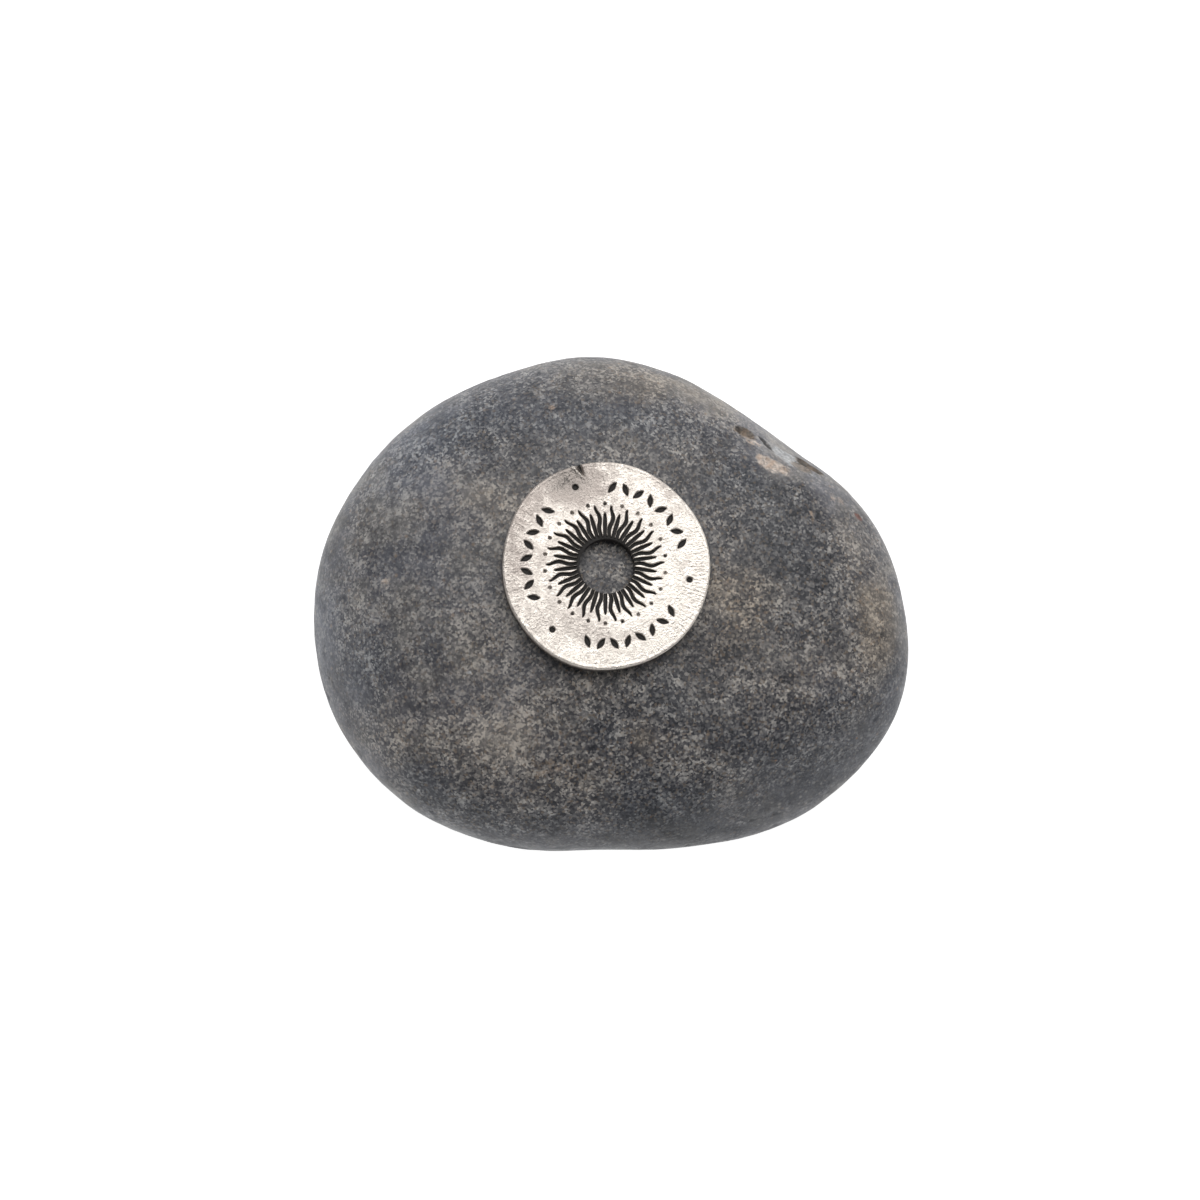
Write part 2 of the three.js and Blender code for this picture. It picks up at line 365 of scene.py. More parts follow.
@dataclass(frozen=True)
class Freckles:
    """Small soft round spots strewn over the rock, one in each place of a random mesh.

    They have a pitch and a radius in millimetres, a colour, the share of the places that hold a spot, and a
    strength. A spot fades out between the inner and the outer share of its radius, and the draw for a place
    passes between the softened ends of the share.
    """

    pitch: float
    radius: float
    colour: Triple
    share: float
    strength: float
    inner: float = 0.3
    outer: float = 1.2
    soft: float = 0.3


@dataclass(frozen=True)
class StoneFinish:
    """Water-worn fine-grained grey rock: salt-and-pepper grains under a mottled, bluish skin.

    Colours are linear, and sizes are in millimetres. The tone is the lightness of the rock about a middle
    of zero. The cover is the share of the grain that the skin hides. The rag tears the marks' edges.
    """

    grain: float = 0.27
    coarse_grain: float = 0.62
    own_lightness: float = 0.76
    grain_stops: tuple[tuple[float, Triple], ...] = (
        (0.0, (0.028, 0.030, 0.037)),
        (0.3, (0.072, 0.075, 0.085)),
        (0.55, (0.154, 0.156, 0.163)),
        (0.78, (0.322, 0.316, 0.305)),
        (1.0, (0.64, 0.625, 0.585)),
    )
    tan_grain: Triple = (0.36, 0.275, 0.185)
    tan_draw: Pair = (0.84, 0.94)
    tan_strength: float = 0.4
    drift: Pattern = Pattern(9.0)
    drift_tone: float = 0.4
    mottle: Pattern = Pattern(2.2, 3.0, 0.66)
    mottle_tone: float = 1.05
    light_tone: float = 0.09
    base_tone: float = 0.04
    freckles: tuple[Freckles, ...] = (
        Freckles(0.85, 0.27, (0.47, 0.45, 0.41), 0.35, 0.55),
        Freckles(1.2, 0.28, (0.40, 0.29, 0.19), 0.16, 0.4),
        Freckles(2.6, 0.16, (0.42, 0.20, 0.09), 0.25, 0.8),
        Freckles(1.5, 0.30, (0.030, 0.030, 0.038), 0.14, 0.75),
    )
    olive_skin: Triple = (0.198, 0.197, 0.192)
    blue_skin: Triple = (0.118, 0.127, 0.150)
    skin_hue: Pattern = Pattern(6.0, 3.0)
    skin_hue_range: Pair = (0.4, 0.62)
    skin_warmth: float = 0.25
    skin_lift: float = 1.4
    cover: Pattern = Pattern(5.0, 4.0, 0.6)
    cover_range: Pair = (0.38, 0.68)
    cover_share: float = 0.3
    film_cover: float = 0.7
    light_cover: float = 0.12
    most_cover: float = 0.75
    cold: Triple = (0.95, 0.99, 1.08)
    sandy: Triple = (1.12, 0.995, 0.88)
    base_gain: float = 0.9
    light_gain: float = 0.15
    mark_colours: tuple[tuple[Tint, Triple, Triple], ...] = (
        (Tint.ASH, (0.58, 0.59, 0.60), (0.34, 0.35, 0.37)),
        (Tint.OCHRE, (0.77, 0.67, 0.59), (0.55, 0.41, 0.31)),
        (Tint.RUST, (0.26, 0.19, 0.13), (0.10, 0.085, 0.065)),
        (Tint.SOOT, (0.050, 0.047, 0.045), (0.024, 0.023, 0.026)),
        (Tint.IRON, (0.22, 0.07, 0.04), (0.11, 0.035, 0.02)),
    )
    rag: Pattern = Pattern(0.8, 5.0, 0.7)
    rag_reach: float = 2.0
    blotch: Pattern = Pattern(1.1, 3.0, 0.6)
    blotch_range: Pair = (0.4, 0.62)
    mark_grain: Pair = (0.6, 1.25)
    mark_edge: Pair = (0.25, 0.9)
    mark_strength: float = 0.94
    rock_in_mark: float = 0.15
    tooth_fineness: float = 2.6
    roughness: Pair = (0.42, 0.58)
    grain_relief: float = 0.25
    relief_strength: float = 0.55
    relief: float = 0.06
    gloss: float = 0.5

    def grains(self, sheet: Sheet, point: Socket, tone: Socket) -> tuple[Socket, Socket]:
        """Lay the grains side by side, more of them light where the tone is high.

        Args:
            sheet: the material's nodes.
            point: the place in millimetres.
            tone: how light the rock is, about 0 in the middle.

        Returns:
            The colour of the grain at each place, and its lightness from 0 to 1.
        """
        small = sheet.node("SeparateColor", {0: sheet.cells(point, self.grain).outputs["Color"]})
        coarse = sheet.node("SeparateColor", {0: sheet.cells(point, self.coarse_grain).outputs["Color"]})
        own = sheet.math("MULTIPLY", small.outputs[0], self.own_lightness)
        shared = sheet.math("MULTIPLY", coarse.outputs[0], 1.0 - self.own_lightness)
        level = sheet.math("ADD", sheet.math("ADD", own, shared), tone, True)
        colour = sheet.ramp(level, self.grain_stops)
        tan_share = sheet.between(small.outputs[1], self.tan_draw, (0.0, self.tan_strength))
        return sheet.mix(tan_share, colour, self.tan_grain), level

    def skin(self, sheet: Sheet, point: Socket, tone: Socket) -> tuple[Socket, Socket]:
        """Lay out the thin skin over the grains, bluish in some places and olive in others.

        Args:
            sheet: the material's nodes.
            point: the place in millimetres.
            tone: how light the rock is, about 0 in the middle.

        Returns:
            The skin's colour, and the share of the grain that it hides.
        """
        light, warm = sheet.attribute("light"), sheet.attribute("warm")
        warmth = sheet.math("MULTIPLY", warm, self.skin_warmth)
        hue = sheet.math("ADD", sheet.noise(point, self.skin_hue), warmth)
        skin = sheet.mix(sheet.between(hue, self.skin_hue_range), self.blue_skin, self.olive_skin)
        lift = sheet.math("ADD", 1.0, sheet.math("MULTIPLY", tone, self.skin_lift))
        skin = sheet.mix(1.0, skin, sheet.grey(lift), "MULTIPLY")
        cover = sheet.between(sheet.noise(point, self.cover), self.cover_range, (0.0, self.cover_share))
        cover = sheet.math("ADD", cover, sheet.math("MULTIPLY", sheet.attribute("film"), self.film_cover))
        cover = sheet.math("ADD", cover, sheet.math("MULTIPLY", light, self.light_cover))
        return skin, sheet.math("MINIMUM", sheet.math("MAXIMUM", cover, 0.0), self.most_cover)

    def strew(self, sheet: Sheet, point: Socket, kind: Freckles, colour: Socket) -> Socket:
        """Lay one kind of freckle over a colour.

        Args:
            sheet: the material's nodes.
            point: the place in millimetres.
            kind: the freckles.
            colour: the colour of the rock under them.

        Returns:
            The colour with the freckles.
        """
        spots = sheet.cells(point, kind.pitch)
        draw = sheet.node("SeparateColor", {0: spots.outputs["Color"]}).outputs[0]
        size = kind.radius / kind.pitch
        spot = sheet.between(spots.outputs["Distance"], (kind.inner * size, kind.outer * size), (1.0, 0.0))
        ends = (1.0 - (1.0 + kind.soft) * kind.share, 1.0 - (1.0 - kind.soft) * kind.share)
        chosen = sheet.between(draw, ends, (0.0, kind.strength))
        return sheet.mix(sheet.math("MULTIPLY", spot, chosen), colour, kind.colour)

    def stain(self, sheet: Sheet, point: Socket, level: Socket, colour: Socket) -> Socket:
        """Lay the marks over a colour, each kind blotched between its pale and its deep tint.

        Args:
            sheet: the material's nodes.
            point: the place in millimetres.
            level: the lightness of the grain under the marks, from 0 to 1.
            colour: the colour of the rock under them.

        Returns:
            The colour with the marks.
        """
        ragged = sheet.ripple(point, self.rag)
        blotch = sheet.between(sheet.noise(point, self.blotch), self.blotch_range)
        grainy = sheet.grey(sheet.math("ADD", sheet.between(level, (0.0, 1.0), self.mark_grain), ragged))
        for tint, pale, deep in self.mark_colours:
            torn = sheet.math("MULTIPLY", ragged, self.rag_reach)
            share = sheet.math("ADD", sheet.attribute(tint.value), torn)
            mark = sheet.between(share, self.mark_edge, (0.0, self.mark_strength))
            speckled = sheet.mix(1.0, sheet.mix(blotch, pale, deep), grainy, "MULTIPLY")
            colour = sheet.mix(mark, colour, sheet.mix(self.rock_in_mark, speckled, colour))
        return colour

    def material(self) -> bpy.types.Material:
        """Build the material.

        Returns:
            The material, which reads the attributes of the marks and of the skin's tone.
        """
        material, sheet, shader = new_material("worn grey stone")
        point = sheet.millimetres()
        light, warm = sheet.attribute("light"), sheet.attribute("warm")
        drift = sheet.math("MULTIPLY", sheet.ripple(point, self.drift), self.drift_tone)
        mottle = sheet.math("MULTIPLY", sheet.ripple(point, self.mottle), self.mottle_tone)
        tone = sheet.math("ADD", drift, mottle)
        # Painted shade and highlight: the light attribute holds the rock's own tone, and also painted shade
        # along the lower edge and a painted highlight at the top edge. It lifts the tone here and the
        # colour through the gain below.
        tone = sheet.math("ADD", tone, sheet.math("MULTIPLY", light, self.light_tone))
        colour, level = self.grains(sheet, point, sheet.math("ADD", tone, self.base_tone))
        skin, cover = self.skin(sheet, point, tone)
        colour = sheet.mix(cover, colour, skin)
        for kind in self.freckles:
            colour = self.strew(sheet, point, kind, colour)
        hue = sheet.mix(sheet.between(warm, (-1.0, 1.0)), self.cold, self.sandy)
        gain = sheet.math("ADD", sheet.math("MULTIPLY", light, self.light_gain), self.base_gain)
        hue = sheet.node("VectorMath", {0: hue, 3: gain}, operation="SCALE").outputs[0]
        colour = sheet.mix(1.0, colour, hue, "MULTIPLY")
        sheet.put(shader.inputs["Base Color"], self.stain(sheet, point, level, colour))

        tooth = sheet.node("Group", {}, node_tree=Tooth().group())
        sheet.put(tooth.inputs["Point"], point)
        sheet.put(tooth.inputs["Fineness"], self.tooth_fineness)
        worn = sheet.between(tooth.outputs["Scuff"], (0.0, 1.0), self.roughness)
        sheet.put(shader.inputs["Roughness"], worn)
        grain_edge = sheet.cells(point, self.grain).outputs["Distance"]
        edges = sheet.math("MULTIPLY", grain_edge, self.grain_relief)
        height = sheet.math("ADD", tooth.outputs["Height"], edges)
        inputs = {"Strength": self.relief_strength, "Distance": self.relief * MM, "Height": height}
        sheet.put(shader.inputs["Normal"], sheet.node("Bump", inputs).outputs["Normal"])
        shader.inputs["Specular IOR Level"].default_value = self.gloss
        return material


@dataclass(frozen=True)
class PewterFinish:
    """Cast pewter rubbed bright, with black patina left in the recesses and file strokes along the rim.

    Colours are linear, and sizes are in millimetres. The streaks of the strokes and of the weave run
    between the bright and the dull metal, and the halo is the tarnish round the black.
    """

    bright: Triple = (0.97, 0.90, 0.82)
    dull: Triple = (0.46, 0.405, 0.37)
    patina_and_painted_shade: Triple = (0.040, 0.037, 0.035)
    tarnish: Triple = (0.26, 0.235, 0.215)
    strokes: float = 46.0
    stroke_length: float = 1.8
    stroke_wave: Pattern = Pattern(1.0, 2.0, 0.6)
    stroke_streak: float = 1.5
    weave: Pattern = Pattern(0.34, 3.0, 0.65)
    weave_streak: float = 0.7
    base_dimness: float = 0.4
    scuff_shine: float = 0.5
    scuff_grime: float = 0.3
    halo_range: Pair = (0.02, 0.5)
    halo_strength: float = 0.8
    black_range: Pair = (0.4, 0.7)
    black_metal: float = 0.1
    black_roughness: float = 0.25
    roughness: Pair = (0.4, 0.27)
    tooth_fineness: float = 4.5
    tooth_relief: float = 0.6
    relief: float = 0.08
    gloss: float = 0.3

    def file_strokes(self, sheet: Sheet, point: Socket) -> Socket:
        """Draw fine strokes that point outwards from the middle.

        Args:
            sheet: the material's nodes.
            point: the place in millimetres, with the disc's middle at the origin and its face up.

        Returns:
            The height of the strokes, from 0 to 1.
        """
        flat = sheet.node("VectorMath", {0: point, 1: (1.0, 1.0, 0.0)}, operation="MULTIPLY").outputs[0]
        reach = sheet.node("VectorMath", {0: flat}, operation="LENGTH").outputs["Value"]
        heading = sheet.node("VectorMath", {0: flat}, operation="NORMALIZE").outputs[0]
        around = sheet.node("VectorMath", {0: heading, 3: self.strokes}, operation="SCALE").outputs[0]
        outward = sheet.node("CombineXYZ", {2: sheet.math("DIVIDE", reach, self.stroke_length)}).outputs[0]
        place = sheet.node("VectorMath", {0: around, 1: outward}, operation="ADD").outputs[0]
        return sheet.noise(place, self.stroke_wave)

    def material(self, centre: Triple, lean: Triple) -> bpy.types.Material:
        """Build the material.

        Args:
            centre: the disc's middle, in millimetres.
            lean: the turn of the disc about the three axes, in radians.

        Returns:
            The material, which reads the attributes for the patina and painted shade, for the dullness and
            painted sheen, and for the filed brim.
        """
        material, sheet, shader = new_material("cast pewter")
        inputs = {"Vector": sheet.millimetres(), "Location": centre, "Rotation": lean}
        point = sheet.node("Mapping", inputs, vector_type="TEXTURE").outputs[0]
        tooth = sheet.node("Group", {}, node_tree=Tooth().group())
        sheet.put(tooth.inputs["Point"], point)
        sheet.put(tooth.inputs["Fineness"], self.tooth_fineness)
        scuff = tooth.outputs["Scuff"]
        strokes = sheet.math("SUBTRACT", self.file_strokes(sheet, point), 0.5)
        strokes = sheet.math("MULTIPLY", strokes, sheet.attribute("brim"))
        weave = sheet.ripple(point, self.weave)
        stroke_streak = sheet.math("MULTIPLY", strokes, self.stroke_streak)
        streak = sheet.math("ADD", stroke_streak, sheet.math("MULTIPLY", weave, self.weave_streak))
        # Painted reflection and highlight: the dullness read here is less towards the lower right and on
        # the nick's lip, and is also clouded at random.
        haze_and_painted_sheen = sheet.math("ADD", sheet.attribute("haze_and_painted_sheen"), self.base_dimness)
        dim = sheet.math("ADD", sheet.math("MULTIPLY", scuff, -self.scuff_shine), haze_and_painted_sheen)
        metal = sheet.mix(sheet.math("SUBTRACT", dim, streak, True), self.bright, self.dull)

        uneven = sheet.math("MULTIPLY", sheet.math("SUBTRACT", scuff, 0.5), self.scuff_grime)
        # The black holds real patina in the recesses, the outer wall darker below its top, and painted
        # shade in the dent and on the crease's right flank.
        grime_and_painted_shade = sheet.math("ADD", sheet.attribute("patina_and_painted_shade"), uneven)
        halo = sheet.between(grime_and_painted_shade, self.halo_range, (0.0, self.halo_strength))
        metal = sheet.mix(halo, metal, self.tarnish)
        black = sheet.between(grime_and_painted_shade, self.black_range)
        sheet.put(shader.inputs["Base Color"], sheet.mix(black, metal, self.patina_and_painted_shade))
        sheet.put(shader.inputs["Metallic"], sheet.between(black, (0.0, 1.0), (1.0, self.black_metal)))
        worn = sheet.between(scuff, (0.0, 1.0), self.roughness)
        rougher = sheet.math("MULTIPLY", black, self.black_roughness)
        sheet.put(shader.inputs["Roughness"], sheet.math("ADD", worn, rougher))

        tooth_height = sheet.math("MULTIPLY", tooth.outputs["Height"], self.tooth_relief)
        height = sheet.math("ADD", sheet.math("ADD", tooth_height, weave), strokes)
        inputs = {"Strength": 1.0, "Distance": self.relief * MM, "Height": height}
        sheet.put(shader.inputs["Normal"], sheet.node("Bump", inputs).outputs["Normal"])
        shader.inputs["Specular IOR Level"].default_value = self.gloss
        return material


# Pebble


@dataclass(frozen=True)
class Flat:
    """A broad worn flat: the azimuth and elevation of its normal, and its distance from the middle."""

    azimuth: float
    elevation: float
    distance: float


@dataclass(frozen=True)
class Hollow:
    """A soft hollow: the azimuth and elevation of its middle, how wide and how deep it is."""

    azimuth: float
    elevation: float
    width: float
    depth: float


@dataclass(frozen=True)
class Swell:
    """A long low wave over the surface: its direction, wavelength, height and phase in degrees."""

    along: Triple
    wavelength: float
    height: float
    phase: float


@dataclass(frozen=True)
class PebbleForm:
    """The pebble's outer form, as a distance from its middle for each direction."""

    plan_radii: tuple[float, ...] = (
        37.0, 32.9, 29.3, 29.1, 30.2, 31.2, 33.7, 35.7, 38.4, 38.2, 35.5, 32.9, 34.8, 39.5, 40.1,
    )
    crown_height: float = 14.9
    keel_depth: float = 13.6
    foot_depth: float = 12.7
    foot_blend: float = 0.35
    fullness: float = 2.25
    crown_slope: float = 0.0034
    sharpness: float = 14.0
    flats: tuple[Flat, ...] = (
        Flat(32, 84, 14.15),
        Flat(58, 30, 29.0),
        Flat(200, 46, 28.6),
        Flat(300, 38, 28.6),
        Flat(118, -36, 28.6),
    )
    hollows: tuple[Hollow, ...] = (Hollow(37, 6, 5.2, 0.75), Hollow(44, 26, 6.0, 0.55))
    swells: tuple[Swell, ...] = (
        Swell((0.8, 0.5, 0.3), 31, 0.16, 20),
        Swell((-0.4, 0.9, 0.2), 23, 0.12, 140),
        Swell((0.2, -0.5, 0.85), 17, 0.1, 260),
        Swell((0.9, -0.3, -0.4), 14, 0.07, 75),
    )

    def plan_radius(self, angle: Array) -> Array:
        """Give the girdle's radius at angles in radians.

        Formula: the smooth closed curve through n equally spaced radii r, n odd, which is the sum of
        r * sin(n h) / (n sin h), where h is half the angle away from that radius.

        Args:
            angle: the angles from +X towards +Y.

        Returns:
            The radius at each angle, in millimetres.
        """
        count = len(self.plan_radii)
        total = np.zeros_like(angle)
        for i, radius in enumerate(self.plan_radii):
            half = (angle - 2.0 * math.pi * i / count) / 2.0
            sine = np.sin(half)
            near = np.abs(sine) < 1e-9
            away = np.sin(count * half) / (count * np.where(near, 1.0, sine))
            total += radius * np.where(near, 1.0, away)
        return total

    def worn(self, rays: Array) -> Array:
        """Give the rounded and worn form, before hollows and swells.

        Formula: with p the ray's plan length over the girdle's radius, and q its height over the crown's or
        the keel's, the gauge is (p^f + q^f)^(1/f). It is joined to each flat's own gauge, the ray along the
        flat's normal over its distance, as (sum of g^s)^(1/s), and the point is the ray over the result.

        Args:
            rays: unit vectors from the middle, on the last axis.

        Returns:
            Places in millimetres, with the middle at the origin.
        """
        angle = np.arctan2(rays[..., 1], rays[..., 0])
        plan = np.hypot(rays[..., 0], rays[..., 1]) / self.plan_radius(angle)
        rise = np.abs(rays[..., 2]) / np.where(rays[..., 2] > 0, self.crown_height, self.keel_depth)
        gauge = (plan**self.fullness + rise**self.fullness) ** (1.0 / self.fullness)
        total = gauge**self.sharpness
        for flat in self.flats:
            reach = rays @ direction(flat.azimuth, flat.elevation) / flat.distance
            total = total + np.maximum(0.0, reach) ** self.sharpness
        return rays * total[..., None] ** (-1.0 / self.sharpness)

    def above_foot(self, height: Array) -> Array:
        """Raise heights from the girdle to heights from the flat foot.

        Formula: zero below the foot, the height above it, and (h + b)^2 / 4b within b of it.
        """
        h, b = height + self.foot_depth, self.foot_blend
        return np.where(h <= -b, 0.0, np.where(h >= b, h, (h + b) ** 2 / (4.0 * b)))

    def surface(self, rays: Array) -> Array:
        """Give the finished surface.

        Formula: the worn point, moved along its ray by the sum of -depth * exp(-(away / width)^2) over the
        hollows and height * sin(2 pi travel / wavelength + phase) over the swells. The crown is then
        lowered by its slope towards +X, and the foot is flattened.

        Args:
            rays: unit vectors from the middle, on the last axis.

        Returns:
            Places in millimetres, with the foot at height zero.
        """
        point = self.worn(rays)
        push = np.zeros(rays.shape[:-1])
        for hollow in self.hollows:
            centre = self.worn(direction(hollow.azimuth, hollow.elevation))
            away = np.linalg.norm(point - centre, axis=-1)
            push -= hollow.depth * np.exp(-((away / hollow.width) ** 2))
        for swell in self.swells:
            along = np.array(swell.along) / np.linalg.norm(swell.along)
            travel = 2.0 * math.pi * (point @ along) / swell.wavelength
            push += swell.height * np.sin(travel + math.radians(swell.phase))
        point = point + rays * push[..., None]
        lean = np.where(point[..., 2] > 0, 1.0 - self.crown_slope * point[..., 0], 1.0)
        point[..., 2] = self.above_foot(point[..., 2] * lean)
        return point


@dataclass(frozen=True)
class Mark:
    """One natural mark on the crown: where it lies seen from above, its size and turn, and what it does.

    Sizes are in millimetres and the turn is in degrees. The edge runs from 0, clean, to 1, ragged.
    """

    x: float
    y: float
    length: float
    width: float
    turn: float
    depth: float
    tint: Tint
    strength: float = 1.0
    ragged: float = 0.5


@dataclass(frozen=True)
class Patch:
    """A soft-edged patch seen from above: its middle, its size in millimetres and its turn in degrees."""

    x: float
    y: float
    length: float
    width: float
    turn: float

    def share(self, x: Array, y: Array) -> Array:
        """Give the patch's share at each place.

        Formula: exp(-(u^2 + v^2)), with u and v the place along its length and width over half of each.

        Args:
            x: the places along +X, in millimetres.
            y: the places along +Y.

        Returns:
            The share, from 0 far away to 1 in the middle.
        """
        turn = math.radians(self.turn)
        dx, dy = x - self.x, y - self.y
        u = (dx * math.cos(turn) + dy * math.sin(turn)) / (self.length / 2.0)
        v = (dy * math.cos(turn) - dx * math.sin(turn)) / (self.width / 2.0)
        return np.exp(-(u * u + v * v))


@dataclass(frozen=True)
class ToneAndShadeCloud(Patch):
    """One broad patch that makes the skin lighter, darker or warmer: most are the rock's own tone, a few
    are painted shade, and one is a painted highlight.

    Light and warm run from -1, dark or bluish, to 1, and film is the share of the grain that it hides.
    """

    light: float
    warm: float = 0.0
    film: float = 0.0


